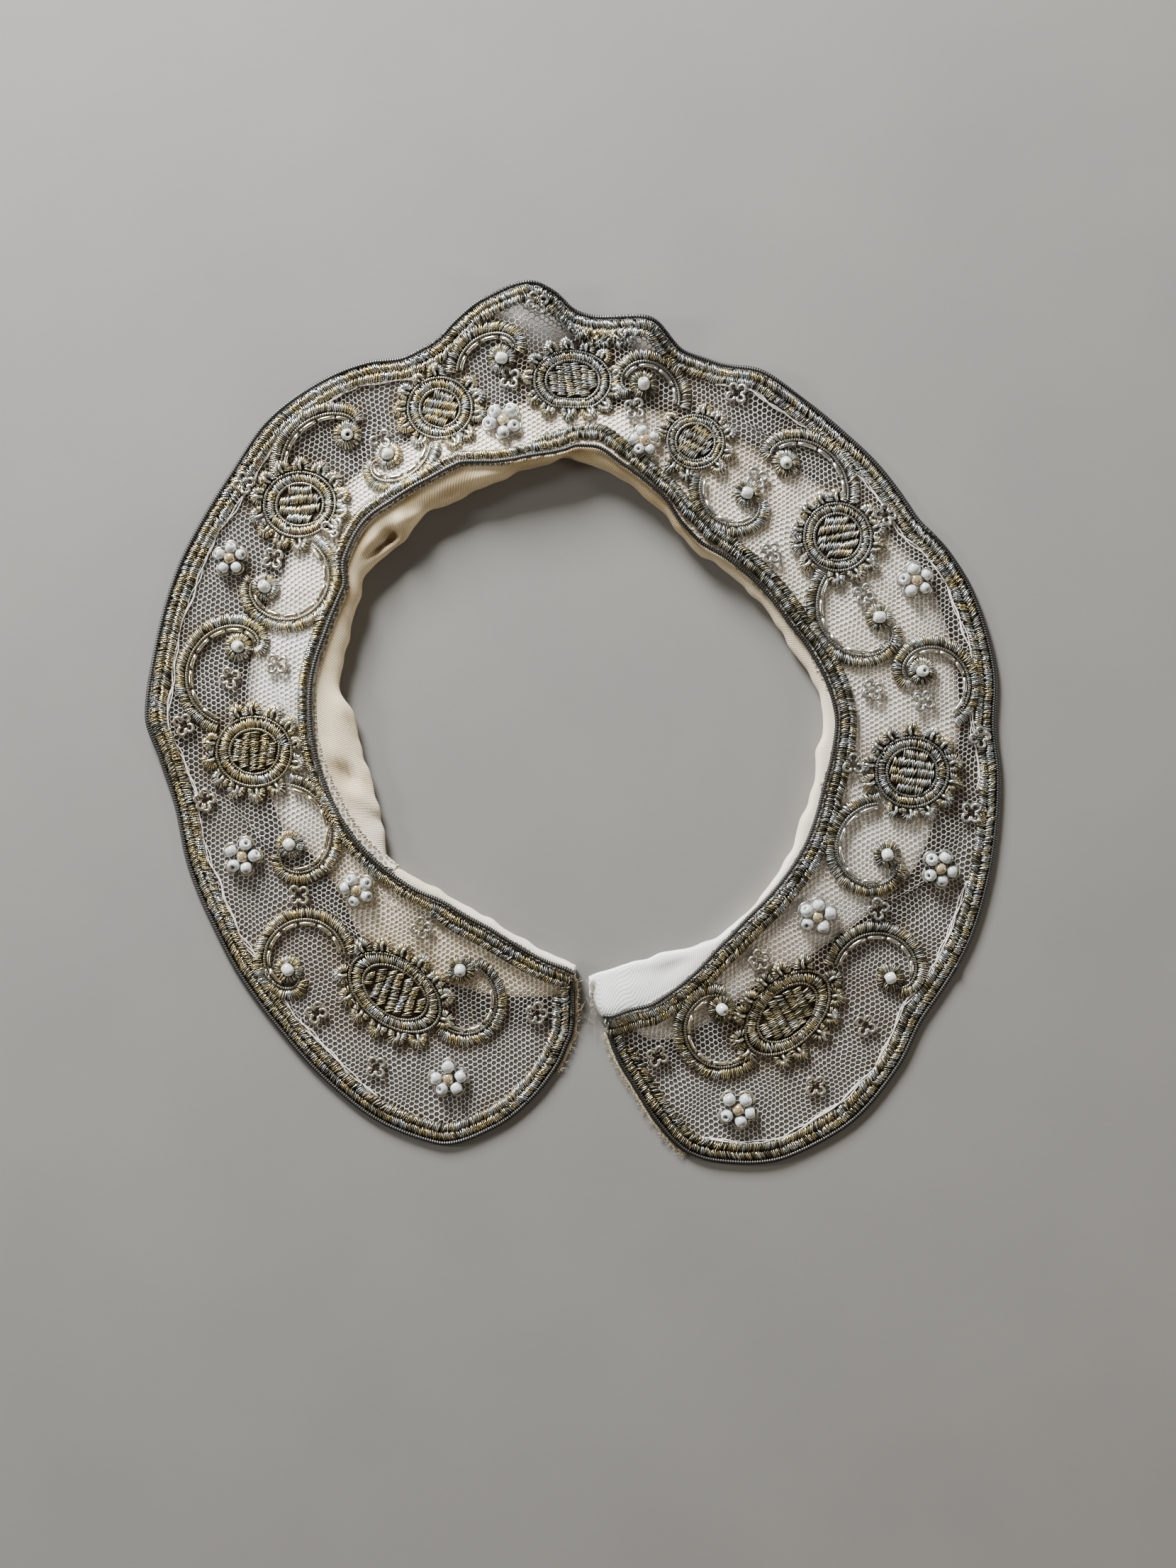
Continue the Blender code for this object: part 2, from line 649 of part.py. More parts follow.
def add_scroll(scroll):
    start = scroll_starts(scroll)
    rings = []
    for step in range(SCROLL_STATIONS):
        outer, inner = scroll_rails(scroll, start + (1 - start) * step / (SCROLL_STATIONS - 1))
        rings.append(
            [
                on_net(*outer, 0),
                on_net(*outer, SCROLL_OUT_HEIGHT),
                on_net(*inner, SCROLL_IN_HEIGHT),
                on_net(*inner, 0),
            ]
        )
    return solid_through(f"scroll_{scroll.name}", rings, GOLD_FINISH)


def add_pearl(scroll):
    """The rosette of chips round a pearl, where a scroll ends."""
    base = net_top(scroll.pearl_x, scroll.pearl_y) + LAID_GAP
    rings = []
    for ring in PEARL_PROFILE:
        points = []
        for step in range(PEARL_SIDES):
            angle = 2 * math.pi * step / PEARL_SIDES
            x = scroll.pearl_x + ring.radius * math.cos(angle)
            y = scroll.pearl_y + ring.radius * math.sin(angle)
            level = net_top(x, y) + LAID_GAP if ring.radius == PEARL_PROFILE[0].radius else base
            points.append((x, y, level + ring.height))
        rings.append(points)
    return solid_through(f"pearl_{scroll.name}", rings, PEARL_FINISH)


def add_bead_flower(number, flower):
    """Five beads round a middle one, fused on their common base."""
    rings = []
    for ring in FLOWER_RINGS:
        points = []
        for step in range(FLOWER_SIDES):
            in_line = step % (FLOWER_SIDES // BEADS) == 0
            radius = flower.size * (ring.radius if in_line else ring.side_radius)
            height = ring.height if in_line else ring.side_height
            angle = math.radians(flower.turn + 360 * step / FLOWER_SIDES)
            x = flower.x + radius * math.cos(angle)
            y = flower.y + radius * math.sin(angle)
            points.append(on_net(x, y, height))
        rings.append(points)
    return solid_through(f"bead_flower_{number}", rings, BEAD_FINISH)


def centre_on_floor(objects):
    """Moves the meshes together, so that the origin is at the bottom centre of them all."""
    corners = [vert.co for obj in objects for vert in obj.data.vertices]
    middle_x = (min(c.x for c in corners) + max(c.x for c in corners)) / 2
    middle_y = (min(c.y for c in corners) + max(c.y for c in corners)) / 2
    shift = Vector((-middle_x, -middle_y, 0))
    for obj in objects:
        for vert in obj.data.vertices:
            vert.co += shift
    return shift


def main():
    clear_scene()
    pieces = [add_net(), add_neckband(), add_outer_border(), add_outer_cord()]
    pieces += [add_neck_border(), add_neck_cord()]
    pieces += [add_medallion(number, row) for number, row in enumerate(MEDALLIONS, 1)]
    pieces += [add_scroll(scroll) for scroll in SCROLLS]
    pieces += [add_pearl(scroll) for scroll in SCROLLS]
    pieces += [add_bead_flower(number, row) for number, row in enumerate(BEAD_FLOWERS, 1)]
    return centre_on_floor(pieces)


if __name__ == "__main__":
    main()
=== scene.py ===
"""Beaded collar: net, satin, metal thread embroidery and glass beads, laid flat.

Lengths in the tables are millimetres and angles are degrees; the meshes are in metres, +Z up.
A bearing turns clockwise from +Y, seen from above, about the middle of the neck opening.
"""

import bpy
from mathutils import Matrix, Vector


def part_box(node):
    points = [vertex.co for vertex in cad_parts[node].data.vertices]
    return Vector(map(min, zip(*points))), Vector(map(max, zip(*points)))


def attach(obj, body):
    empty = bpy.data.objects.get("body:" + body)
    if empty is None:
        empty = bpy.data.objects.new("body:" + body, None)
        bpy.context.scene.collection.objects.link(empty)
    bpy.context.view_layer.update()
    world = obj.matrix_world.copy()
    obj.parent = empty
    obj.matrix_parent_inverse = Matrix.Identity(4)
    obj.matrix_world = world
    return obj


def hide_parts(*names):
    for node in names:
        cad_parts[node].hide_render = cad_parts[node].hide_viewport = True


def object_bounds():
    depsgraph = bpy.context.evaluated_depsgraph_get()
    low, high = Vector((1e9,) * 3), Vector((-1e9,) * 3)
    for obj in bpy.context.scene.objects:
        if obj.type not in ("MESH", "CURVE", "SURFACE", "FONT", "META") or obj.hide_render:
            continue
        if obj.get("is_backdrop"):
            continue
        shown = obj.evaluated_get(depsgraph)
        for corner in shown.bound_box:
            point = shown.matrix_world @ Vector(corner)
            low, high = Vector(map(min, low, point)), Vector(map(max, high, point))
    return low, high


bl_info = {
    "name": "Beaded collar",
    "version": (1, 0, 0),
    "blender": (4, 5, 0),
    "location": "View3D > Sidebar > Collar",
    "description": "Makes the net, satin, purl embroidery and beads of a collar laid flat",
    "category": "Object",
}

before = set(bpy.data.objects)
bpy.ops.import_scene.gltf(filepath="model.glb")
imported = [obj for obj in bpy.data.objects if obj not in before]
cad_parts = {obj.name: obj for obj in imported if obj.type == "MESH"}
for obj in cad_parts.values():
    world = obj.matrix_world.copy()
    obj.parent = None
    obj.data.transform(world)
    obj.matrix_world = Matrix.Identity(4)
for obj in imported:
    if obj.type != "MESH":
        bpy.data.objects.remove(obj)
CAD_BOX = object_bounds()

import math
from bisect import bisect_right
from collections import namedtuple
from functools import partial

import bmesh
import bpy
import numpy as np
from mathutils import Matrix, Vector, noise
from mathutils.kdtree import KDTree

MM = 0.001


def table(kind, *rows):
    """Rows of numbers whose columns have names."""
    return [kind(*row) for row in rows]


# The collar's sections, as in the solids: radii of the neck cord, of the satin's fold inside it, of the
# satin's hidden edge under the net and of the outer edge, and the height to which the satin lifts the net.
Section = namedtuple("Section", "bearing neck fold tuck edge lift")
SECTIONS = table(
    Section,
    (-179.5, 60, 58.5, 65, 76, 3.4), (-177, 59, 57.5, 66, 83.5, 3.4), (-173.5, 58, 56.5, 67, 92, 3.4),
    (-168.5, 56.5, 55, 68, 101, 3.4), (-161.5, 54.5, 53, 69.5, 108.5, 3.5),
    (-155, 53.5, 52, 70.5, 109, 3.6), (-145, 53.5, 52, 72, 107, 3.8), (-135, 56, 54, 74, 104.5, 4),
    (-125, 58.5, 56.5, 71, 103, 4), (-118.5, 60, 53.5, 71.5, 102, 4), (-110, 61.5, 52, 76, 101.5, 4),
    (-102.5, 62.5, 52, 77, 100.5, 4), (-95, 63.5, 53, 78.5, 102.5, 4.2), (-89, 64, 54, 80, 105.5, 4.4),
    (-80, 64.5, 58.5, 81, 105, 4.8), (-70, 64, 59, 81, 105, 5.2), (-60, 64.5, 61, 81.5, 104.5, 5.6),
    (-55, 68, 62.5, 82, 104.5, 5.8), (-46, 70, 61, 81, 105.5, 6.2), (-40, 69, 61.5, 81, 105, 6.4),
    (-35, 68.5, 62.5, 81, 104, 6.5), (-30, 68, 61, 79.5, 102, 6.6), (-25, 68, 61.5, 77.5, 99, 6.6),
    (-21, 66.5, 61, 76, 99.5, 6.6), (-17, 65, 61.5, 77.5, 103, 6.6), (-13, 64.5, 62.5, 79, 106, 6.5),
    (-6.5, 64.5, 63, 78.5, 107.5, 6.4), (-3, 65, 64, 77, 105, 6.3), (0, 66, 63.5, 76, 100.5, 6.2),
    (3, 66, 62.5, 76.5, 99.5, 6), (10, 62.5, 60, 78, 100, 5.8), (16.5, 59.5, 57, 78.5, 94.5, 5.6),
    (21, 57.5, 55.5, 78.5, 94.5, 5.4), (28, 53.5, 52, 79, 97, 5), (35, 52, 50.5, 80.5, 96.5, 4.6),
    (42, 53, 51, 82, 96.5, 4.4), (50, 54, 52, 84, 97, 4.2), (58, 55, 53, 89, 97, 4),
    (65, 56, 54, 91.5, 100, 3.8), (72, 58, 55, 92.5, 102, 3.6), (83, 61, 59, 93, 103, 3.5),
    (90, 62, 59.5, 93, 102, 3.5), (97, 61.5, 58.5, 91.5, 104, 3.5), (105, 61, 59, 90, 106, 3.5),
    (112, 61.5, 59, 89.5, 108, 3.5), (120, 62, 60, 86, 110, 3.5), (130, 62, 61, 81.5, 111, 3.4),
    (137, 62, 61.5, 79.5, 115, 3.4), (147, 63.5, 62, 75, 118.5, 3.4), (154, 66, 60.5, 71.5, 118, 3.4),
    (162.5, 69, 59.5, 70.5, 112.5, 3.4), (166, 70, 59.5, 70, 108, 3.4), (169, 70, 59.5, 70.5, 99.5, 3.4),
    (171.5, 70.5, 60, 70.5, 89.5, 3.2), (173.7, 71, 60.5, 71, 82, 3), (175.2, 70.5, 61, 70.5, 75, 2.6),
    (177.5, 65, 62, 64, 75, 2.8),
)
# Bearings at which the net ends at both fronts and the satin at the right one.
FRONT_LEFT = -179.5
FRONT_RIGHT = 175.2
SATIN_END = 177.5
# How high the net lies over the satin's hidden edge, how wide the slope outside that edge is at most, in
# millimetres and as a share of what is left there, and between which shares of the net's width it lies.
REST = 1.3
TUCK_SLOPE = 8.0
TUCK_SLOPE_SHARE = 0.6
TUCK_LEAST = 0.25
TUCK_MOST = 0.8

# A ripple that lifts the outer edge: where it is, how wide, and how high at the edge.
Ripple = namedtuple("Ripple", "bearing width lift")
RIPPLES = table(
    Ripple,
    (-88, 7, 1.2), (-44, 7, 2.2), (-6.5, 4.6, 6), (9.5, 4.2, 4.6), (29, 5.5, 2),
)

# How wide the chip rows along the neck are: one row or two.
NeckRows = namedtuple("NeckRows", "bearing width")
NECK_ROWS = table(
    NeckRows,
    (-180, 3.6), (-148, 3.6), (-136, 2), (-12, 2), (-6, 3.6), (34, 3.8), (180, 3.8),
)

# Where the neck cord stands away from the chip rows: how wide the stretch is, and how far apart.
CordGap = namedtuple("CordGap", "bearing width gap")
CORD_GAPS = [CordGap(5.0, 8.0, 1.1), CordGap(31.0, 7.0, 0.9)]

# A medallion: its centre, the half-axes of its outer cord ring, the turn of the long one, the length of
# its petals and how many it has, the inner ring's share of the outer, the turns of its woven columns and of
# the chips in them, where its inner cord starts if it is a spiral, and where a flat side cuts the ring.
Medallion = namedtuple("Medallion", "x y long short turn petal petals inner weave slant spiral flat")
MEDALLIONS = table(
    Medallion,
    (-44.5, -65.5, 12.4, 7.9, -36, 4.2, 15, 0.70, 70, 28, 40, 1),
    (-78.5, -7, 9.3, 8.4, 0, 4.1, 14, 0.65, 84, 20, 20, 1),
    (-67.5, 53, 8.8, 7.9, 0, 4.1, 14, 0.66, 2, -18, -50, 1),
    (-33.5, 76.5, 7.8, 7.5, 0, 3.9, 13, 0.63, -12, -16, -80, 1),
    (-1.2, 83, 9.3, 7.3, 0, 3.4, 13, 0.70, 97, 2, None, 0.85),
    (28.5, 68, 6.8, 6.6, 0, 3.6, 12, 0.70, -30, -12, None, 1),
    (63, 45, 8.2, 8.2, 0, 4.1, 14, 0.70, 8, -32, -110, 1),
    (81, -12, 8.8, 8.4, 0, 4.1, 14, 0.70, -8, -10, None, 1),
    (51, -70.5, 12.3, 7.7, 45, 4.2, 15, 0.70, -62, 0, None, 1),
)

# A scroll: the name, where it springs from its medallion, the centre of its large arc, the pearl that
# it curls round, its hand (1 is anticlockwise) and how far it turns.
Scroll = namedtuple("Scroll", "name foot_x foot_y arc_x arc_y pearl_x pearl_y hand turn")
SCROLLS = table(
    Scroll,
    ("1a", -55, -57, -67, -57.5, -70.5, -60, 1, 320), ("1b", -35, -73.5, -25, -65.5, -28.5, -60, 1, 170),
    ("2a", -88, -1.5, -83, 12, -82.5, 18.5, -1, 265), ("2b", -69.5, -13.5, -71.5, -28, -70, -29.5, -1, 220),
    ("3a", -73.5, 60, -57.5, 62.5, -56, 70, -1, 135), ("3b", -64, 45, -70.5, 34, -76, 33, -1, 270),
    ("4a", -31, 85.5, -18.5, 85, -18.5, 88.5, -1, 155), ("4b", -34, 67.5, -47.5, 68.5, -46, 65, -1, 150),
    ("6a", 26, 76.5, 15.5, 79, 16, 82, 1, 225), ("6b", 28.5, 60, 40.5, 56, 41, 55.5, 1, 170),
    ("7a", 67, 53.5, 52, 56.5, 50.5, 63, 1, 170), ("7b", 59.5, 37.5, 72.5, 27, 73, 25.5, 1, 190),
    ("8a", 92, 0, 85.5, 9.5, 83.5, 12.5, 1, 280), ("8b", 74.5, -18, 73.5, -32, 75, -32, 1, 240),
    ("9a", 61, -58.5, 74, -62, 76, -62, -1, 215), ("9b", 43, -82, 34, -73.5, 35, -69.5, -1, 230),
)
SCROLL_END_RADIUS = 4.6

# A bead flower: its centre, how far it is turned, and its size beside the others.
Spot = namedtuple("Spot", "x y turn size")
BEAD_FLOWERS = table(
    Spot,
    (-81.5, -32.5, 8, 1), (-53.5, -40.5, 40, 0.95), (-31.5, -86.5, 20, 1), (39, -94, 55, 1.05),
    (58, -47, 12, 1), (88, -35.5, 66, 1), (82, 34.5, 30, 0.95), (16, 68, 20, 0.85), (-18, 73, 48, 1),
    (-84.5, 40, 15, 0.9),
)

# A small flower of wire loops: its centre, how far it is turned, and how many loops it has.
LoopFlower = namedtuple("LoopFlower", "x y turn loops")
LOOP_FLOWERS = table(
    LoopFlower,
    (-90.7, -18.8, 20, 5), (-67.9, -41.9, 50, 4), (-37.9, -49.7, 10, 4), (-63.6, -70.5, 75, 4),
    (-49.1, -83.8, 45, 4), (-10, -70.5, 5, 5), (44.1, -57.6, 30, 5), (70, -73.6, 60, 4),
    (57.9, -88.3, 45, 4), (19.3, -81, 70, 4), (72.9, -45.2, 15, 4), (95.7, -21.9, 40, 4),
    (97.8, -3.6, 10, 4), (66.7, -10.2, 80, 3), (38.6, 80, 35, 4), (13.8, 76, 60, 4), (43.4, 59.3, 20, 4),
    (46.7, 41, 50, 4), (74.7, 50.5, 5, 4), (69.3, 31.2, 70, 4), (71.4, 7.9, 25, 4), (83.8, 5.3, 55, 4),
    (-72.8, 14.1, 40, 4), (-84.5, 10.9, 15, 4), (-95.7, -0.5, 65, 4), (-74, 39.8, 30, 4),
    (-59.3, 47.1, 50, 3), (-81.2, 58.3, 10, 4), (-16.6, 83.8, 40, 4), (-9.7, 101.2, 20, 4),
    (-47.9, 68.8, 60, 3),
)

# A wrinkle of the net: its start, middle and end, how wide it is and how high it stands.
Wrinkle = namedtuple("Wrinkle", "x0 y0 x1 y1 x2 y2 width height")
WRINKLES = table(
    Wrinkle,
    (-13.6, 103.6, -13.4, 98, -10.4, 94.6, 1.5, 0.7), (-15.4, 100.2, -12.2, 92.4, -11.6, 87.6, 1.3, 0.6),
    (-44, 86.8, -26.4, 97.4, -16, 101.2, 1, 0.5), (-10.6, 96.4, 0, 94.2, 7.4, 91.6, 1, 0.5),
    (7.4, 91.6, 12, 93.8, 21, 92.4, 1, 0.5), (-99.2, -2.2, -96.9, -11, -91.2, -31.2, 1.1, 0.5),
    (-85.8, -18.3, -78.6, -26.4, -75.9, -31.6, 0.9, 0.45), (-73.6, 9.2, -70.2, 3, -66.2, -1.2, 0.9, 0.4),
    (-61.4, -44.4, -55.4, -49.8, -52.6, -53.6, 0.9, 0.4),
    (-48.8, -36.8, -46.4, -42.6, -43.6, -44.8, 0.8, 0.35),
    (-83.8, -49.4, -72.2, -65.6, -60.8, -81.2, 1.1, 0.5),
    (-60.8, -81.2, -53.6, -89.4, -41.6, -95.4, 1.1, 0.45), (70.6, -42.4, 79, -41.6, 91.4, -33, 1.1, 0.5),
    (78, 60, 86, 46, 90, 38, 1, 0.4), (92, 20, 95, 10, 94, 2, 0.9, 0.4), (40, 74, 46, 70, 56, 66, 0.9, 0.4),
    (88, -52, 92, -62, 86, -76, 1, 0.4),
)
WRINKLE_STEPS = 24

# A place where the metal is paler, more golden or more tarnished than elsewhere.
Tone = namedtuple("Tone", "x y reach gilt tarnish")
TONES = table(
    Tone,
    (-85, 0, 45, 0.80, 0.16), (-60, -70, 35, 0.72, 0.38), (-25, -90, 25, 0.45, 0.30),
    (-70, 55, 28, 0.55, 0.10), (-35, 80, 22, 0.60, 0.13), (0, 90, 22, 0.30, 0.42), (30, 70, 22, 0.35, 0.40),
    (65, 50, 26, 0.32, 0.36), (95, 10, 30, 0.42, 0.45), (80, -15, 20, 0.20, 0.50),
    (90, -60, 25, 0.45, 0.55), (50, -72, 18, 0.85, 0.56), (20, -100, 25, 0.65, 0.56), (0, 98, 9, 0.1, 0.1),
    (60, -30, 15, 0.25, 0.58), (5, 67, 7, 0.35, 0.85), (16, 64, 9, 0.35, 0.95), (28, 52, 7, 0.35, 0.95),
    (31.5, 45, 7, 0.3, 0.9), (43.7, 36.6, 7, 0.3, 0.85), (53.5, 25, 7, 0.3, 0.85), (62, 11, 7, 0.3, 0.8),
    (64, -8, 7, 0.3, 0.8), (-20, -54, 9, 0.6, 0.6), (-26, 65, 6, 0.5, 0.35), (-48, 52, 6, 0.55, 0.3),
    (-103, -12, 9, 0.75, 0.5), (-98, 12, 10, 0.7, 0.5), (-94, 40, 9, 0.6, 0.5), (-76, 70, 9, 0.6, 0.45),
    (-56, 86, 8, 0.6, 0.4), (-30, 96, 8, 0.6, 0.4),
)

# A soft trough or ridge in the satin: where it is, how long and how wide, which way it runs from the
# radius, and how far it goes down or up.
Crease = namedtuple("Crease", "x y length width heading depth")
CREASES = table(
    Crease,
    (-47.8, 42.6, 3.4, 0.8, 40, -2.2), (-45.4, 44.8, 1.9, 1.4, 40, -2.4), (-50.4, 43.4, 3.4, 1.3, 50, 1),
    (-43, 48.4, 2.2, 1.2, 100, 0.7), (-56.5, -12.2, 3.6, 1.3, 125, -2.2), (-58.8, -9, 5, 1.3, 112, 0.7),
    (-56.6, 5.6, 6, 2.6, 95, 0.9), (-52.6, -18, 3.8, 1.8, 140, 0.8), (-47.6, -23.6, 3, 1.2, 150, -0.8),
    (-62.6, 14, 5, 1.2, 80, -0.5), (-40, 49.6, 3.6, 1.2, 20, 0.7), (-31, 55, 4, 1, 25, -0.6),
    (-22.6, 59.4, 4.4, 1.1, 10, 0.6), (-13.6, 61.6, 4.6, 0.9, 5, -0.6), (-4, 64.2, 3.6, 0.8, 170, 0.4),
    (-69.6, 8, 9, 1.1, 125, 0.6), (-72, 1.5, 8, 1.2, 110, -0.4), (70, 0, 10, 1.6, 75, 0.5),
    (66, -38, 9, 1.4, 40, 0.6), (62, 34, 9, 1.5, 110, 0.5), (8, -57.5, 9, 1.2, 8, 0.35),
    (16, -60.5, 8, 1.1, 12, -0.35), (22.8, -60, 5, 1.8, 28, -0.7),
)

# How white the satin is at the fold and under the net, and how much shade is painted on its fold: it is
# whitest at the loose front end, and its painted shade is darkest at the back.
Pale = namedtuple("Pale", "bearing fold under brown")
PALE = table(
    Pale,
    (-180, 0.65, 0.2, 0.1), (-150, 0.6, 0.2, 0.1), (-125, 0.5, 0.3, 0.1), (-105, 0.3, 0.8, 0.05),
    (-88, 0.22, 0.9, 0), (-70, 0.16, 0.8, 0.05), (-35, 0.12, 0.6, 0.18), (10, 0, 0.4, 0.5),
    (50, 0.2, 0.65, 0.3), (90, 0.4, 0.75, 0.1), (130, 0.6, 0.9, 0), (160, 0.95, 0.85, 0), (180, 1, 1, 0),
)


def slope_at(places, values, index):
    """Slope of the smooth curve at one of its points, level at a peak or a dip."""
    if index in (0, len(places) - 1):
        return 0.0
    before = (values[index] - values[index - 1]) / (places[index] - places[index - 1])
    after = (values[index + 1] - values[index]) / (places[index + 1] - places[index])
    if before * after <= 0:
        return 0.0
    return 2 * before * after / (before + after)


def read_column(rows, column, bearing):
    """A column of a table at any bearing, on a smooth curve through its rows."""
    places = [row.bearing for row in rows]
    values = [getattr(row, column) for row in rows]
    bearing = min(max(bearing, places[0]), places[-1])
    right = min(max(bisect_right(places, bearing), 1), len(rows) - 1)
    left = right - 1
    span = places[right] - places[left]
    t = (bearing - places[left]) / span
    start = slope_at(places, values, left) * span
    end = slope_at(places, values, right) * span
    cubic = 2 * (values[left] - values[right]) + start + end
    square = 3 * (values[right] - values[left]) - 2 * start - end
    return ((cubic * t + square) * t + start) * t + values[left]


# The close bearings at which the tables are read once.
BEARING_STEP = 0.25
BEARINGS = np.arange(-180.0, 180.0 + BEARING_STEP, BEARING_STEP)


def tabled(rows, column):
    """A table's column, read once at close bearings."""
    return np.array([read_column(rows, column, bearing) for bearing in BEARINGS])


COLUMNS = [tabled(SECTIONS, name) for name in Section._fields[1:]]
NECK_WIDTHS = tabled(NECK_ROWS, "width")
PALE_COLUMNS = [tabled(PALE, name) for name in ("fold", "under", "brown")]


def smooth(t):
    """Goes from 0 to 1 with t, level at both ends."""
    t = np.clip(t, 0.0, 1.0)
    return t * t * (3 - 2 * t)


def section_at(bearing):
    """The collar's section at any bearings, with the hidden edge kept between neck and outer edge."""
    neck, fold, tuck, edge, lift = (np.interp(bearing, BEARINGS, column) for column in COLUMNS)
    width = edge - neck
    tuck = np.clip(tuck, neck + TUCK_LEAST * width, neck + TUCK_MOST * width)
    return Section(bearing, neck, fold, tuck, edge, lift)


def underside(bearing, radius):
    """Height of the solid net's underside: lifted by the satin at the neck, level further out, rippled."""
    section = section_at(bearing)
    level = section.tuck + np.minimum(TUCK_SLOPE, TUCK_SLOPE_SHARE * (section.edge - section.tuck))
    share = np.minimum((section.tuck - radius) / (section.tuck - section.neck), 1.0)
    inner = REST + (section.lift - REST) * share
    outer = REST * np.maximum((level - radius) / (level - section.tuck), 0.0)
    height = np.where(radius < section.tuck, inner, outer)
    outward = np.clip((radius - section.neck) / (section.edge - section.neck), 0.0, 1.0)
    for ripple in RIPPLES:
        bump = ripple.lift * np.exp(-(((bearing - ripple.bearing) / ripple.width) ** 2))
        height = height + bump * outward**1.5
    return height


def polar(x, y):
    """Bearings and radii of places."""
    return np.degrees(np.arctan2(x, y)), np.hypot(x, y)


def at_bearing(bearing, radius):
    """Places at these bearings and radii."""
    angle = np.radians(bearing)
    return np.column_stack([radius * np.sin(angle), radius * np.cos(angle)])


def wrinkle_line(wrinkle):
    """Points along a wrinkle's curve."""
    t = np.linspace(0, 1, WRINKLE_STEPS)[:, None]
    ends = [np.array(wrinkle[k : k + 2]) for k in (0, 2, 4)]
    middle = 2 * ends[1] - (ends[0] + ends[2]) / 2
    return (1 - t) ** 2 * ends[0] + 2 * t * (1 - t) * middle + t**2 * ends[2]


WRINKLE_LINES = [wrinkle_line(wrinkle) for wrinkle in WRINKLES]


def nearest_on(line, x, y):
    """Nearest point of a line to each place, and how far along the line it is."""
    gaps = (x[:, None] - line[None, :, 0]) ** 2 + (y[:, None] - line[None, :, 1]) ** 2
    index = np.argmin(gaps, axis=1)
    return line[index], index / (len(line) - 1), np.sqrt(gaps[np.arange(len(x)), index])


def near_wrinkles(x, y):
    """For each wrinkle: the places near it, its points nearest to them, its fading there, and the gaps."""
    for wrinkle, line in zip(WRINKLES, WRINKLE_LINES):
        reach = 3 * wrinkle.width
        low, high = line.min(axis=0) - reach, line.max(axis=0) + reach
        inside = (x > low[0]) & (x < high[0]) & (y > low[1]) & (y < high[1])
        if inside.any():
            near, share, gap = nearest_on(line, x[inside], y[inside])
            fade = np.sin(math.pi * np.clip(share, 0.04, 0.96)) ** 0.6
            yield wrinkle, inside, near, fade, gap


def wrinkle_height(x, y):
    """How far the wrinkles lift the net at each place."""
    height = np.zeros(len(x))
    for wrinkle, inside, _, fade, gap in near_wrinkles(x, y):
        height[inside] += wrinkle.height * fade * np.exp(-((gap / wrinkle.width) ** 2) * 2)
    return height


# How high the net's threads lie in the solid's wall, how they come down at the outer edge, and the ridge
# of the net's hem: how far in it is, how wide and how high.
NET_LEVEL = 0.5
NET_FALL = 0.36
EDGE_FALL = 4.0
HEM_RIDGE = 5.9
HEM_RIDGE_WIDTH = 0.7
HEM_RIDGE_HEIGHT = 0.3


def lay(x, y):
    """Height of the net's threads at each place: within the solid's wall, and down at the outer edge."""
    bearing, radius = polar(x, y)
    inset = section_at(bearing).edge - radius
    ridge = HEM_RIDGE_HEIGHT * np.exp(-(((inset - HEM_RIDGE) / HEM_RIDGE_WIDTH) ** 2))
    level = NET_LEVEL - NET_FALL * (1 - smooth(inset / EDGE_FALL))
    return underside(bearing, radius) + level + ridge + wrinkle_height(x, y)


def settled(points, lift):
    """Points of a path on the net, raised by a lift: an array of x, y and z."""
    x, y = points[:, 0], points[:, 1]
    return np.column_stack([x, y, lay(x, y) + lift])


# How far to each side of a place the net's slope is measured.
SLOPE_REACH = 0.4


def slopes(x, y):
    """How steeply the net rises along X and along Y at each place."""
    along_x = lay(x + SLOPE_REACH, y) - lay(x - SLOPE_REACH, y)
    along_y = lay(x, y + SLOPE_REACH) - lay(x, y - SLOPE_REACH)
    return along_x / (2 * SLOPE_REACH), along_y / (2 * SLOPE_REACH)


def pearl_shift():
    """How far the solids' middle lies from the middle of the neck opening, in millimetres."""
    low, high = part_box("pearl_1a")
    first = SCROLLS[0]
    middle = (low + high) / 2 / MM
    return np.array([middle.x - first.pearl_x, middle.y - first.pearl_y, 0.0])


SHIFT = pearl_shift()


def to_frame(points):
    """Points in millimetres about the neck opening, as points of the frame in metres."""
    return (np.asarray(points) + SHIFT) * MM


def resampled(path, spacing):
    """Even steps along a path: the points, the directions there and the distances."""
    path = np.asarray(path, float)
    steps = np.hypot(*np.diff(path, axis=0).T)
    along = np.concatenate([[0.0], np.cumsum(steps)])
    count = max(int(round(along[-1] / spacing)) + 1, 2)
    at = np.linspace(0.0, along[-1], count)
    points = np.column_stack([np.interp(at, along, path[:, axis]) for axis in (0, 1)])
    run = np.gradient(points, axis=0)
    run /= np.hypot(run[:, 0], run[:, 1])[:, None]
    return points, run, at


def inset_path(path, distance):
    """The same path, moved to the right of its direction, with its kinks smoothed out."""
    points, run, _ = resampled(path, 0.5)
    moved = points + np.column_stack([run[:, 1], -run[:, 0]]) * distance
    for _ in range(6):
        moved[1:-1] = (moved[:-2] + 2 * moved[1:-1] + moved[2:]) / 4
    return moved


# Step of the bearings along the paths.
PATH_STEP = 0.4


def edge_path():
    """The outer edge from the left front's neck corner, round the collar, to the right front's corner."""
    neck = section_at(FRONT_LEFT).neck
    front = at_bearing(FRONT_LEFT, np.array([neck + 2.0, neck + 8.0, neck + 13.0]))
    bearings = np.arange(FRONT_LEFT, FRONT_RIGHT + 0.01, PATH_STEP)
    return np.vstack([front, at_bearing(bearings, section_at(bearings).edge)[1:]])


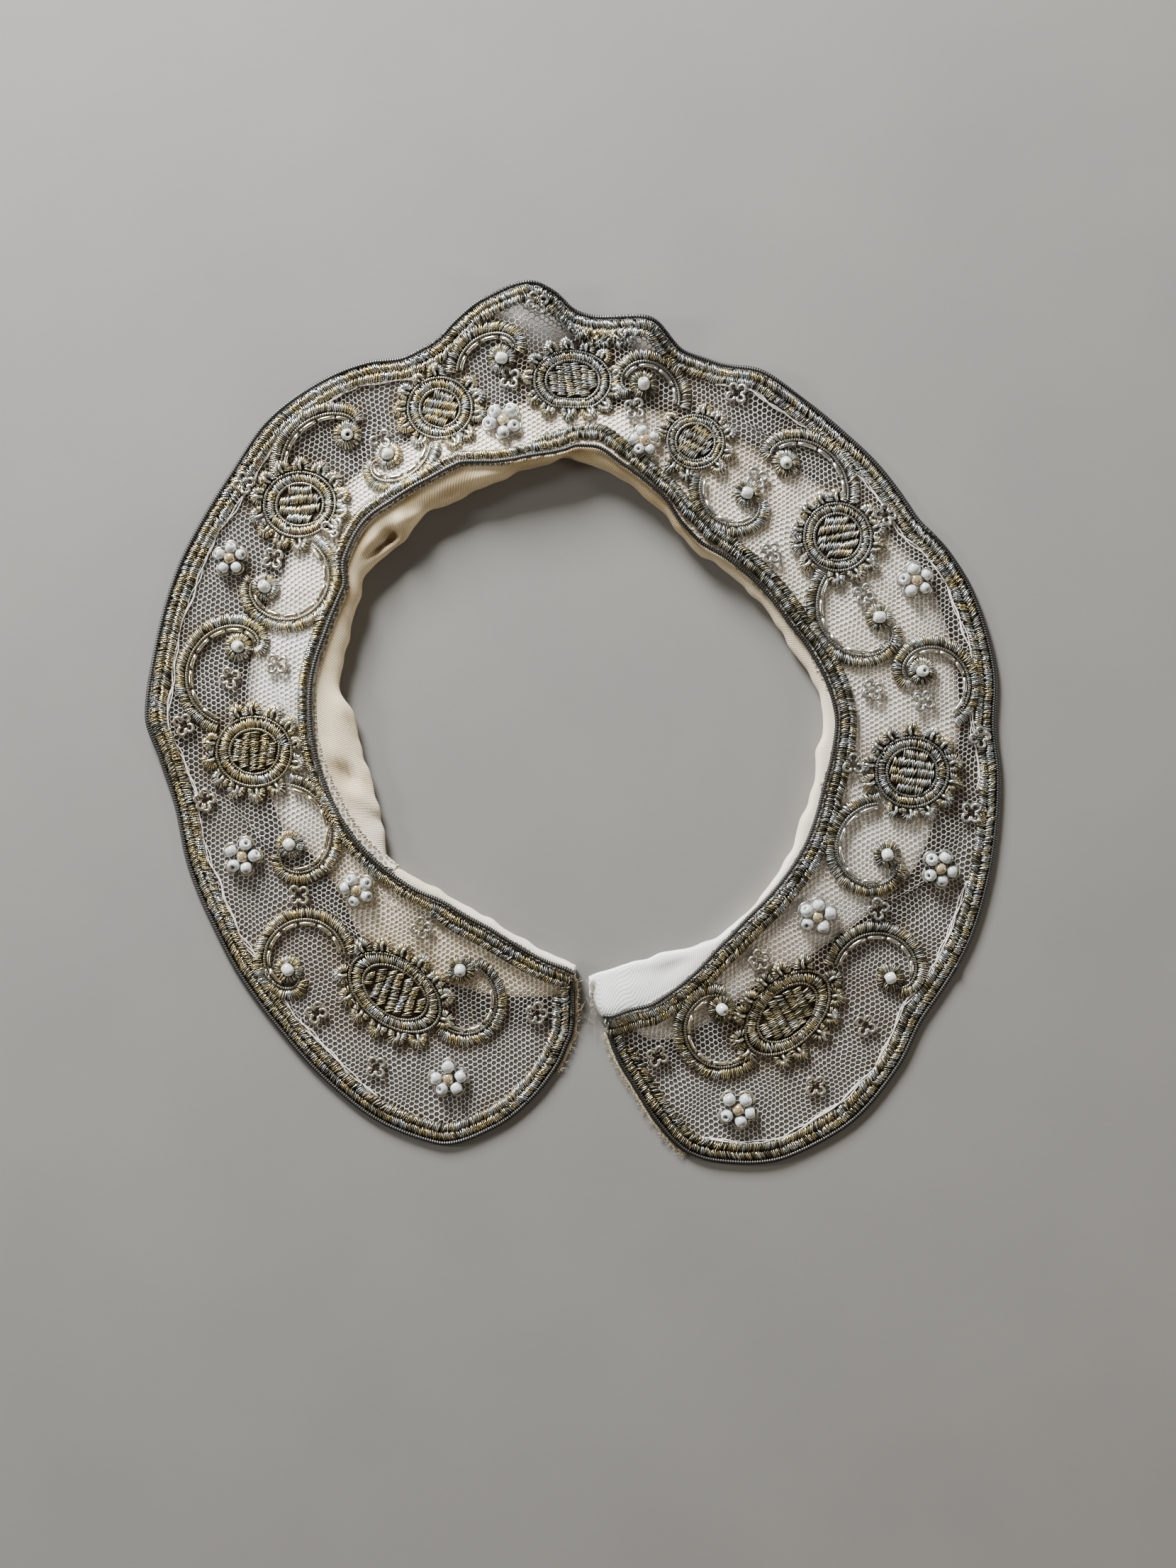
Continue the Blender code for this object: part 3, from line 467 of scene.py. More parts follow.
# Radius of the wrapped cords, how far in they lie from the outer edge and the neck line, and how far
# apart the points of the twisted cords are.
CORD_RADIUS = 0.55
EDGE_CORD_INSET = 0.75
NECK_CORD_INSET = 0.65
CORD_STEP = 0.19


def cord_gap(bearing):
    """How far the neck cord stands away from the chip rows."""
    return sum(row.gap * np.exp(-(((bearing - row.bearing) / row.width) ** 2)) for row in CORD_GAPS)


def neck_reach(bearing):
    """How far the neck's cord and chip rows reach out from the neck line."""
    width = np.interp(bearing, BEARINGS, NECK_WIDTHS)
    return NECK_CORD_INSET + 2 * CORD_RADIUS + width + cord_gap(bearing)


def turned(x, y, degrees):
    """Coordinates turned anticlockwise about the origin."""
    cos, sin = math.cos(math.radians(degrees)), math.sin(math.radians(degrees))
    return x * cos - y * sin, x * sin + y * cos


def oval_points(medallion, angles, share, beyond=0.0):
    """Points of a medallion at these angles: a share of its cord ring, then a length beyond it."""
    x = medallion.long * share * np.cos(angles)
    y = medallion.short * share * np.sin(angles)
    out = unit(np.column_stack([medallion.short * np.cos(angles), medallion.long * np.sin(angles)]))
    x, y = x + out[:, 0] * beyond, y + out[:, 1] * beyond
    if medallion.flat < 1:
        floor = -medallion.short * medallion.flat * share - beyond
        y = np.where(y < floor, floor + (y - floor) * 0.25, y)
    x, y = turned(x, y, medallion.turn)
    return np.column_stack([medallion.x + x, medallion.y + y])


def scroll_line(scroll, shares):
    """Points of a scroll's line and the directions towards the inside of its curl."""
    foot = np.array([scroll.foot_x - scroll.arc_x, scroll.foot_y - scroll.arc_y])
    length = np.hypot(*foot)
    drift = shares**2
    centre_x = scroll.arc_x + (scroll.pearl_x - scroll.arc_x) * drift
    centre_y = scroll.arc_y + (scroll.pearl_y - scroll.arc_y) * drift
    radius = length + (SCROLL_END_RADIUS - length) * drift
    angle = math.atan2(foot[1], foot[0]) + np.radians(scroll.hand * scroll.turn * shares)
    inward = np.column_stack([-np.cos(angle), -np.sin(angle)])
    return np.column_stack([centre_x, centre_y]) - inward * radius[:, None], inward


def oval_share(medallion, points):
    """How far out points lie in a medallion, as a share of its outer cord ring."""
    along, across = turned(points[:, 0] - medallion.x, points[:, 1] - medallion.y, -medallion.turn)
    return np.hypot(along / medallion.long, across / medallion.short)


# Materials


def from_hex(value):
    """A linear colour from an sRGB hex value."""
    channels = [int(value[k : k + 2], 16) / 255 for k in (1, 3, 5)]
    return tuple(c / 12.92 if c <= 0.04045 else ((c + 0.055) / 1.055) ** 2.4 for c in channels)


def fill(node, inputs):
    """Gives inputs of a node their links, their colours as hex values, or their numbers."""
    for name, value in inputs.items():
        socket = node.inputs[name]
        if isinstance(value, bpy.types.NodeSocket):
            node.id_data.links.new(value, socket)
        else:
            socket.default_value = (*from_hex(value), 1.0) if isinstance(value, str) else value


def add_node(tree, kind, output, inputs, **settings):
    """An output of a new node with these settings and inputs."""
    node = tree.nodes.new(kind)
    for name, value in settings.items():
        setattr(node, name, value)
    fill(node, inputs)
    return node.outputs[output]


def new_material(name):
    """A material, what adds a node to it, and its shader."""
    made = bpy.data.materials.new(name)
    made.use_nodes = True
    return made, partial(add_node, made.node_tree), made.node_tree.nodes["Principled BSDF"]


def per_mm(size):
    """Texture scale whose pattern repeats about once in this many millimetres of object space."""
    return 1.0 / (size * MM)


def patches(add, size, low, high, most=1.0):
    """Soft patches of this size in millimetres: 0 where the noise is low, up to the most where high."""
    place = add("ShaderNodeTexCoord", "Object", {})
    grain = add("ShaderNodeTexNoise", "Fac", {"Vector": place, "Scale": per_mm(size), "Detail": 4.0})
    levels = {"Value": grain, "From Min": low, "From Max": high, "To Max": most}
    return add("ShaderNodeMapRange", "Result", levels)


def net_material(settings):
    """Cotton bobbinet: dull twisted thread, off-white, browned in patches and near metal, with painted shade
    low in its cells.
    """
    made, add, shader = new_material("cotton_bobbinet")
    stain, deep = (add("ShaderNodeAttribute", "Fac", {}, attribute_name=name) for name in ("stain", "deep"))
    browned = {0: patches(add, 22, 0.5, 0.72, 0.7), 1: stain}
    browned = add("ShaderNodeMath", "Value", browned, operation="MAXIMUM")
    colours = {0: browned, 6: (*settings.net_colour, 1.0), 7: "#b89d74"}
    shade = add("ShaderNodeMix", 2, colours, data_type="RGBA")
    # Painted shade: the threads' lower sides are darkened, most at the bottom of the cells.
    shade = add("ShaderNodeMix", 2, {0: deep, 6: shade, 7: "#4f473b"}, data_type="RGBA")
    relief = {"Strength": 0.4, "Distance": 0.08 * MM, "Height": patches(add, 0.3, 0.3, 0.7)}
    fill(shader, {"Base Color": shade, "Normal": add("ShaderNodeBump", "Normal", relief)})
    fill(shader, {"Roughness": 0.85, "Sheen Weight": 0.2})
    return made


def satin_material(settings):
    """Silk satin with a diagonal twill: a soft shine, cream, yellowed and stained in places."""
    made, add, shader = new_material("silk_satin")
    names = ("pale", "hollow", "along", "across")
    read = (add("ShaderNodeAttribute", "Fac", {}, attribute_name=name) for name in names)
    pale, hollow, along, across = read
    stain = add("ShaderNodeMapRange", "Result", {"Value": pale, "To Min": 0.8, "To Max": 0.12})
    depth = add("ShaderNodeMapRange", "Result", {"Value": pale, "To Min": 0.36, "To Max": 0.06})
    colours = {0: pale, 6: (*settings.satin_colour, 1.0), 7: "#f1f3f1"}
    shade = add("ShaderNodeMix", 2, colours, data_type="RGBA")
    colours = {0: patches(add, 14, 0.5, 0.7, stain), 6: shade, 7: "#a98952"}
    shade = add("ShaderNodeMix", 2, colours, data_type="RGBA")
    # Painted shade: the fold, darkest at the back, and the troughs of the creases are darkened.
    shade = add("ShaderNodeMix", 2, {0: hollow, 6: shade, 7: "#7d5f33"}, data_type="RGBA")
    # The twill's ribs, 0.5 mm apart, run across the strip at a slant and waver with its folds.
    strip = add("ShaderNodeCombineXYZ", "Vector", {"X": along, "Y": across})
    strip = add("ShaderNodeMapping", "Vector", {"Vector": strip, "Rotation": (0.0, 0.0, -0.5)})
    weave = {"Vector": strip, "Scale": 0.6, "Distortion": 3.6, "Detail": 3.0}
    weave |= {"Detail Scale": 0.4, "Detail Roughness": 0.7}
    ribs = add("ShaderNodeTexWave", "Fac", weave, wave_type="BANDS", bands_direction="X")
    groove = add("ShaderNodeMix", 2, {0: depth, 6: shade, 7: "#735c38"}, data_type="RGBA")
    shade = add("ShaderNodeMix", 2, {0: ribs, 6: groove, 7: shade}, data_type="RGBA")
    relief = {"Strength": 0.5, "Distance": 0.1 * MM, "Height": ribs}
    fill(shader, {"Base Color": shade, "Normal": add("ShaderNodeBump", "Normal", relief)})
    fill(shader, {"Roughness": 0.4, "Sheen Weight": 0.25, "Anisotropic": 0.4})
    return made


def metal_material(key, settings, dark, roughness, relief=0.0):
    """Fine metal wire, coiled or wound: silver or gilt, glittering, and dark where it is tarnished or where
    shade is painted on it.
    """
    made, add, shader = new_material(key)
    names = ("gilt", "tarnish", "along")
    read = (add("ShaderNodeAttribute", "Fac", {}, attribute_name=name) for name in names)
    gilt, tarnish, along = read
    colours = {0: gilt, 6: (*settings.silver_colour, 1.0), 7: (*settings.gold_colour, 1.0)}
    bright = add("ShaderNodeMix", 2, colours, data_type="RGBA")
    # The tarnish also carries the shade painted on the wire's sides and underside, in its grooves and low on
    # the chips.
    shade = add("ShaderNodeMix", 2, {0: tarnish, 6: bright, 7: dark}, data_type="RGBA")
    # The wire's turns are about 0.12 mm apart; they are drawn 0.3 mm apart, so that they show.
    coil = {"Vector": add("ShaderNodeCombineXYZ", "Vector", {"X": along}), "Scale": 1.05, "Distortion": 1.0}
    turns = add("ShaderNodeTexWave", "Fac", coil, wave_type="BANDS")
    turns = {"Strength": relief, "Distance": 0.06 * MM, "Height": turns}
    fill(shader, {"Base Color": shade, "Normal": add("ShaderNodeBump", "Normal", turns)})
    for socket, clean, dull in (("Roughness", roughness, roughness + 0.2), ("Metallic", 1.0, 0.5)):
        levels = {"Value": tarnish, "To Min": clean, "To Max": dull}
        fill(shader, {socket: add("ShaderNodeMapRange", "Result", levels)})
    return made


def glass_material(key, colour, cloud, metallic=0.0):
    """Opaque pressed glass: milky, polished, slightly uneven in colour."""
    made, add, shader = new_material(key)
    colours = {0: patches(add, 2.5, 0.3, 0.7), 6: colour, 7: cloud}
    fill(shader, {"Base Color": add("ShaderNodeMix", 2, colours, data_type="RGBA")})
    fill(shader, {"Roughness": 0.14, "Metallic": metallic, "IOR": 1.52, "Coat Weight": 0.8})
    fill(shader, {"Subsurface Weight": 0.0 if metallic else 0.3, "Subsurface Scale": 1.0})
    fill(shader, {"Subsurface Radius": (0.0012, 0.0012, 0.0013)})
    return made


def thread_material(key, colour, worn):
    """Cotton thread, or the dark bed of painted shade under the chips: matt, with fine fibres."""
    made, add, shader = new_material(key)
    fibres = patches(add, 0.6, 0.35, 0.65)
    shade = add("ShaderNodeMix", 2, {0: fibres, 6: colour, 7: worn}, data_type="RGBA")
    relief = add("ShaderNodeBump", "Normal", {"Strength": 0.6, "Distance": 0.2 * MM, "Height": fibres})
    fill(shader, {"Base Color": shade, "Normal": relief, "Roughness": 0.9})
    return made


def tape_material():
    """Narrow cotton tape, woven as openly as the net: pale threads with duller cells between them."""
    made, add, shader = new_material("cotton_tape")
    inputs = {"Vector": add("ShaderNodeTexCoord", "Object", {}), "Scale": per_mm(1.3), "Randomness": 0.35}
    cells = add("ShaderNodeTexVoronoi", "Distance", inputs, feature="DISTANCE_TO_EDGE")
    openness = add("ShaderNodeMapRange", "Result", {"Value": cells, "From Min": 0.08, "From Max": 0.2})
    shade = add("ShaderNodeMix", 2, {0: openness, 6: "#d8d2c4", 7: "#857b66"}, data_type="RGBA")
    relief = add("ShaderNodeBump", "Normal", {"Strength": -0.7, "Distance": 0.2 * MM, "Height": openness})
    fill(shader, {"Base Color": shade, "Normal": relief, "Roughness": 0.9})
    return made


# Meshes


def put_in_scene(name, mesh, made, slot, *nodes):
    """An object that rides with the collar, takes the material given and stands for these solids; its slot is
    not used.
    """
    obj = bpy.data.objects.new(name, mesh)
    bpy.context.scene.collection.objects.link(obj)
    mesh.materials.append(made)
    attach(obj, "root")
    if nodes:
        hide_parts(*nodes)
    return obj


def template_of(bm):
    """A small shape's points and faces, to be repeated many times."""
    bm.verts.index_update()
    points = np.array([vert.co[:] for vert in bm.verts])
    faces = [[vert.index for vert in face.verts] for face in bm.faces]
    bm.free()
    return points, faces


def chip_shape():
    """A cut length of purl along X: round above, one unit long, wide and high, bent down at both ends."""
    bm = bmesh.new()
    turn = Matrix.Rotation(math.radians(90), 4, "Y")
    bmesh.ops.create_cone(bm, cap_ends=True, segments=5, radius1=0.5, radius2=0.5, depth=1.0, matrix=turn)
    long_edges = [edge for edge in bm.edges if abs(edge.verts[0].co.x - edge.verts[1].co.x) > 0.5]
    bmesh.ops.subdivide_edges(bm, edges=long_edges, cuts=2, use_grid_fill=True)
    for vert in bm.verts:
        end = (2 * vert.co.x) ** 2
        vert.co.z = vert.co.z + 0.3 - 0.45 * end
        vert.co.y *= 1 - 0.25 * end
    bmesh.ops.recalc_face_normals(bm, faces=bm.faces)
    return template_of(bm)


def pad_shape():
    """A flat pad of one unit, round from above."""
    bm = bmesh.new()
    bmesh.ops.create_cone(bm, cap_ends=True, segments=12, radius1=0.5, radius2=0.4, depth=0.4)
    return template_of(bm)


def bead_shape():
    """A round bead of one unit with a hole along X."""
    bm = bmesh.new()
    half = [(0.34, 0.14), (0.45, 0.19), (0.49, 0.26), (0.46, 0.35), (0.34, 0.44), (0.17, 0.49)]
    outline = [(-x, r) for x, r in half] + [(0.0, 0.5)] + half[::-1]
    verts = [bm.verts.new((x, 0.0, r)) for x, r in outline]
    ring = verts + [bm.edges.new(pair) for pair in zip(verts, verts[1:] + verts[:1])]
    whole = math.radians(360)
    bmesh.ops.spin(bm, geom=ring, cent=(0, 0, 0), axis=(1, 0, 0), angle=whole, steps=18, use_merge=True)
    bmesh.ops.remove_doubles(bm, verts=bm.verts, dist=1e-5)
    bmesh.ops.recalc_face_normals(bm, faces=bm.faces)
    return template_of(bm)


def unit(vectors):
    """Vectors of the same directions, one unit long."""
    return vectors / np.linalg.norm(vectors, axis=-1)[..., None]


def write_numbers(mesh, **numbers):
    """Writes numbers on a mesh's points, each set under its own name."""
    for name, values in numbers.items():
        data = mesh.attributes.new(name, "FLOAT", "POINT").data
        data.foreach_set("value", values.astype(np.float32))


def joined(name, spread, faces, each):
    """One mesh from copies of a shape: their points, the shape's faces and how many points each has."""
    starts = np.arange(len(spread) // each)[:, None] * each
    every = []
    for face in faces:
        every += (starts + np.array(face)[None, :]).tolist()
    mesh = bpy.data.meshes.new(name)
    mesh.from_pydata(spread, [], every)
    mesh.shade_smooth()
    return mesh


# A copy of a small shape: where it lies and which way it points, its length, width and height, and how
# high it stands on the net.
Row = namedtuple("Row", "x y heading length width height lift")


def mesh_of_copies(name, template, rows, tilt=0.0, base=None, rng=None, dark=0.0):
    """One mesh with a copy of the template for each row, set on the net and turned with its slope.

    A tilt raises the copies' heads, and a base gives heights to stand on other than the net's.
    With a random generator the copies are chips of purl, each with its own tone, and with shade painted on
    low down.
    """
    points, faces = template
    x, y, heading, length, width, height, lift = np.array(rows, float).T
    rise_x, rise_y = slopes(x, y)
    up = unit(np.column_stack([-rise_x, -rise_y, np.ones(len(x))]))
    cos, sin = np.cos(heading), np.sin(heading)
    along = unit(np.column_stack([cos, sin, rise_x * cos + rise_y * sin]))
    across = np.cross(up, along)
    cos, sin = np.cos(tilt) * np.ones(len(x)), np.sin(tilt) * np.ones(len(x))
    along, up = along * cos[:, None] + up * sin[:, None], up * cos[:, None] - along * sin[:, None]
    spread = np.column_stack([x, y, (lay(x, y) if base is None else base) + lift])[:, None, :]
    for axis, size, direction in ((0, length, along), (1, width, across), (2, height, up)):
        spread = spread + (points[None, :, axis] * size[:, None])[:, :, None] * direction[:, None, :]
    mesh = joined(name, to_frame(spread.reshape(-1, 3)), faces, len(points))
    if rng is not None:
        gilt, tarnish = chip_tones(rng, x, y)
        # Painted shade: the chips' lower parts, where they meet the net, are darkened and carried in their
        # tarnish.
        low = 0.75 * np.clip(0.2 - points[:, 2], 0, 1)
        dull = np.clip(tarnish[:, None] + dark + low[None, :], 0, 1).reshape(-1)
        places = (points[None, :, 0] * length[:, None]).reshape(-1)
        write_numbers(mesh, gilt=np.repeat(gilt, len(points)), tarnish=dull, along=places)
    return mesh


def add_grid(bm, points, numbers):
    """Adds a grid of faces through rows of points, and writes tables of numbers on its vertices."""
    start = len(bm.verts)
    rows, columns = points.shape[:2]
    bmesh.ops.create_grid(bm, x_segments=columns - 1, y_segments=rows - 1, size=1)
    bm.verts.ensure_lookup_table()
    placed = to_frame(points.reshape(-1, 3))
    for index in range(rows * columns):
        bm.verts[start + index].co = placed[index]
    for key, values in numbers.items():
        layer = bm.verts.layers.float.get(key) or bm.verts.layers.float.new(key)
        bm.verts.ensure_lookup_table()
        flat = np.broadcast_to(values, points.shape[:2]).reshape(-1).tolist()
        for index, value in enumerate(flat):
            bm.verts[start + index][layer] = value


def finished(name, bm):
    """The mesh of a shape, with its seams merged."""
    bmesh.ops.remove_doubles(bm, verts=bm.verts, dist=1e-7)
    bmesh.ops.recalc_face_normals(bm, faces=bm.faces)
    mesh = bpy.data.meshes.new(name)
    bm.to_mesh(mesh)
    bm.free()
    mesh.shade_smooth()
    return mesh


def thicken(piece, thickness):
    """Gives a cloth its thickness, in millimetres, half of it on each side."""
    wall = piece.modifiers.new("thickness", "SOLIDIFY")
    wall.thickness = thickness * MM
    wall.offset = 0.0


# How a cord is wound: the distance between its turns, how deep the grooves between them are, how much shade
# is painted in those grooves, how flat it is, how much shade is painted on its sides and underside, and how
# much of its gilt it has kept.
Winding = namedtuple("Winding", "pitch groove dark flat rim gilt", defaults=(1.0, 0.0, 0.0, 1.0, 0.8, 1.0))


def mesh_of_cords(name, lines, radius, sides=6, winding=Winding(), closed=False, shade=0.0):
    """One mesh of cords along lines of x, y and z: each full and narrow in turn, like wound wire."""
    bm = bmesh.new()
    for line in lines:
        run = np.gradient(line, axis=0)
        if closed:
            run[0] = run[-1] = line[1] - line[-2]
        run = unit(run)
        side = unit(np.column_stack([-run[:, 1], run[:, 0], np.zeros(len(run))]))
        up = np.cross(run, side)
        steps = np.linalg.norm(np.diff(line, axis=0), axis=1)
        along = np.concatenate([[0.0], np.cumsum(steps)])
        pitch = along[-1] / max(round(along[-1] / winding.pitch), 1)
        turn = np.arange(sides + 1) / sides
        wave = 0.5 - 0.5 * np.cos(2 * math.pi * (along[:, None] / pitch + turn[None, :]))
        size = radius * (1 - winding.groove * wave)
        if not closed:
            size[0] = size[-1] = 0.0
            wave[0] = wave[-1] = 0.0
        angle = 2 * math.pi * turn
        ring = size[:, :, None] * (
            np.cos(angle)[None, :, None] * side[:, None, :]
            + winding.flat * np.sin(angle)[None, :, None] * up[:, None, :]
        )
        gilt, tarnish = tones(line[:, 0], line[:, 1])
        # Painted shade: each cord is darkened on its sides and underside, and in the grooves between its
        # turns.
        low = winding.rim * np.clip(0.7 - np.sin(angle), 0, 1)[None, :]
        dull = np.clip(tarnish[:, None] * 0.4 + shade + winding.dark * wave + low, 0, 1)
        numbers = {"along": along[:, None], "gilt": gilt[:, None] * winding.gilt, "tarnish": dull}
        add_grid(bm, line[:, None, :] + ring, numbers)
    return finished(name, bm)


def tones(x, y):
    """How golden and how tarnished the metal is round each place."""
    x0, y0, reach, gilt, tarnish = np.array(TONES).T
    gaps = (np.asarray(x)[:, None] - x0) ** 2 + (np.asarray(y)[:, None] - y0) ** 2
    weights = np.exp(-gaps / reach**2) + 1e-4
    weights /= weights.sum(axis=1)[:, None]
    return weights @ gilt, weights @ tarnish


def clouds(x, y, size, layer):
    """Smooth noise of this size at each place, from one layer of it."""
    return np.array([noise.noise((a / size, b / size, layer)) for a, b in zip(x, y)])


def chip_tones(rng, x, y):
    """Each chip's own tone: runs of gilt and silver, with bright chips and tarnished ones."""
    gilt, tarnish = tones(x, y)
    gilt = np.clip(gilt + 1.3 * clouds(x, y, 3.0, 0.0) + rng.normal(0, 0.25, len(x)), 0, 1)
    tarnish = np.clip(tarnish + 0.5 * clouds(x, y, 4.0, 9.0) + rng.normal(0, 0.31, len(x)), 0, 1)
    return gilt, tarnish


def rows_along(rng, settings, path, length, slant=0.0, lift=0.28):
    """Chips laid side by side across a path, each this long."""
    points, run, along = resampled(path, settings.mm("chip_spacing"))
    count = len(points)
    waver = slant * (1 + 0.6 * np.sin(along / 9.0)) + 0.12 * np.sin(along / 3.7)
    heading = np.arctan2(run[:, 1], run[:, 0]) + math.pi / 2 + (waver + rng.normal(0, 0.1, count))
    sizes = length * rng.uniform(0.86, 1.1, count)
    shift = rng.normal(0, 0.13, count)
    x, y = points[:, 0] - run[:, 1] * shift, points[:, 1] + run[:, 0] * shift
    widths = np.full(count, settings.mm("chip_width"))
    heights = rng.uniform(0.85, 1.2, count)
    return list(zip(x, y, heading, sizes, widths, heights, lift + rng.uniform(0, 0.12, count)))


def line_along(path, spacing, lift):
    """A line of even steps along a path on the net."""
    return settled(resampled(path, spacing)[0], lift)


def bed_along(path):
    """The line of the dark bed under a row of chips, painted shade for the gaps between them."""
    return line_along(path, 1.0, 0.1)


def add_cords(name, lines, radius, made, slot, *nodes, **form):
    """A piece made of cords along lines of x, y and z."""
    return put_in_scene(name, mesh_of_cords(name, lines, radius, **form), made, slot, *nodes)


def add_copies(name, template, rows, made, slot, *nodes, **form):
    """A piece made of copies of a small shape."""
    return put_in_scene(name, mesh_of_copies(name, template, rows, **form), made, slot, *nodes)


def numbered(stem, rows):
    """Names of solids: a stem, and the name of each row or else its number."""
    return [f"{stem}_{getattr(row, 'name', number)}" for number, row in enumerate(rows, 1)]


def add_chips(name, rng, rows, made, slot, *nodes):
    """A piece made of chips of purl, each tilted a little."""
    tilt = rng.normal(0, 0.1, len(rows))
    return add_copies(name, chip_shape(), rows, made, slot, *nodes, tilt=tilt, rng=rng)


# Sizes and colours that a user would change


def length_setting(name, description, default, least, most):
    """A length that a user may change, given here in millimetres and kept in metres."""
    default, least, most = (size * MM for size in (default, least, most))
    limits = {"min": least, "max": most, "precision": 5, "unit": "LENGTH"}
    return bpy.props.FloatProperty(name=name, description=description, default=default, **limits)


def colour_setting(name, description, value):
    """A colour that a user may change, given as an sRGB hex value."""
    colour = {"subtype": "COLOR", "default": from_hex(value)}
    return bpy.props.FloatVectorProperty(name=name, description=description, **colour)


class CollarSettings(bpy.types.PropertyGroup):
    """The collar's sizes and colours"""

    net_pitch: length_setting("Net cell", "Height of a cell of the net", 1.25, 0.8, 2.0)
    net_strand: length_setting("Net thread", "Thickness of the net's threads", 0.3, 0.1, 0.6)
    chip_width: length_setting("Chip width", "Thickness of a cut length of purl", 0.4, 0.2, 1.0)
    chip_spacing: length_setting("Chip spacing", "Distance between chips in a row", 0.45, 0.2, 1.0)
    net_colour: colour_setting("Net", "Colour of the cotton net", "#f2efe8")
    satin_colour: colour_setting("Satin", "Colour of the satin where it has yellowed", "#f2dcab")
    silver_colour: colour_setting("Silver purl", "Colour of bright silvered wire", "#dfe5e6")
    gold_colour: colour_setting("Gilt purl", "Colour of pale gilt wire", "#e2d2a2")
    glass_colour: colour_setting("Glass beads", "Colour of the white glass", "#cfd2d1")

    def mm(self, name):
        """A length of these settings in millimetres."""
        return round(getattr(self, name) / MM, 4)


# Net


# How deep the net's threads are for their thickness, how far out its cells are laid from the middle,
# and how far they stay from the neck line and from the outer edge.
THREAD_DEPTH = 1.65
NET_SPREAD = 125
NET_FROM_NECK = 0.45
NET_FROM_EDGE = 1.4
# How uneven its points are, and where it lies on the satin, how much flatter and lower its threads are,
# and over how wide a strip they come to be so.
NET_UNEVEN = 0.02
PRESSED_FLAT = 0.5
PRESSED_DOWN = 0.22
PRESSED_STRIP = 3.0
# Bearings between which the net's hem shows.
HEM_STRETCHES = ((-152, -24), (22, 100), (112, 168))


def cell_shape(settings):
    """One cell of the net: a ring of six threads, each a half roof that its neighbour completes."""
    bm = bmesh.new()
    turn = Matrix.Rotation(math.radians(30), 4, "Z")
    strand = settings.mm("net_strand")
    corner = settings.mm("net_pitch") / math.sqrt(3)
    bmesh.ops.create_circle(bm, cap_ends=True, segments=6, radius=corner, matrix=turn)
    bmesh.ops.inset_individual(bm, faces=bm.faces[:], thickness=strand / 2, use_even_offset=True)
    opening = max(bm.faces, key=lambda face: len(face.verts))
    for vert in opening.verts:
        vert.co.z -= strand * THREAD_DEPTH
    bmesh.ops.delete(bm, geom=[opening], context="FACES_ONLY")
    bmesh.ops.recalc_face_normals(bm, faces=bm.faces)
    if sum(face.normal.z for face in bm.faces) < 0:
        bmesh.ops.reverse_faces(bm, faces=bm.faces)
    return template_of(bm)


def stretched(x, y):
    """Where the net's points lie: pulled a little out of shape, and gathered along the wrinkles."""
    pull_x = 0.42 * np.sin(x / 2.9 + 1.3 * np.sin(y / 6.1)) * np.cos(y / 3.7)
    pull_y = 0.42 * np.cos(y / 3.1 + 1.1 * np.sin(x / 5.7)) * np.sin(x / 4.1)
    moved_x = x + pull_x + 0.2 * np.sin(y / 2.1 + x / 3.3)
    moved_y = y + pull_y + 0.2 * np.cos(x / 2.3 - y / 3.1)
    # Each wrinkle pulls at the places as those before it have left them.
    for wrinkle, inside, near, fade, gap in near_wrinkles(moved_x, moved_y):
        pull = 0.62 * fade * np.exp(-((gap / (1.3 * wrinkle.width)) ** 2))
        moved_x[inside] += (near[:, 0] - moved_x[inside]) * pull
        moved_y[inside] += (near[:, 1] - moved_y[inside]) * pull
    return moved_x, moved_y


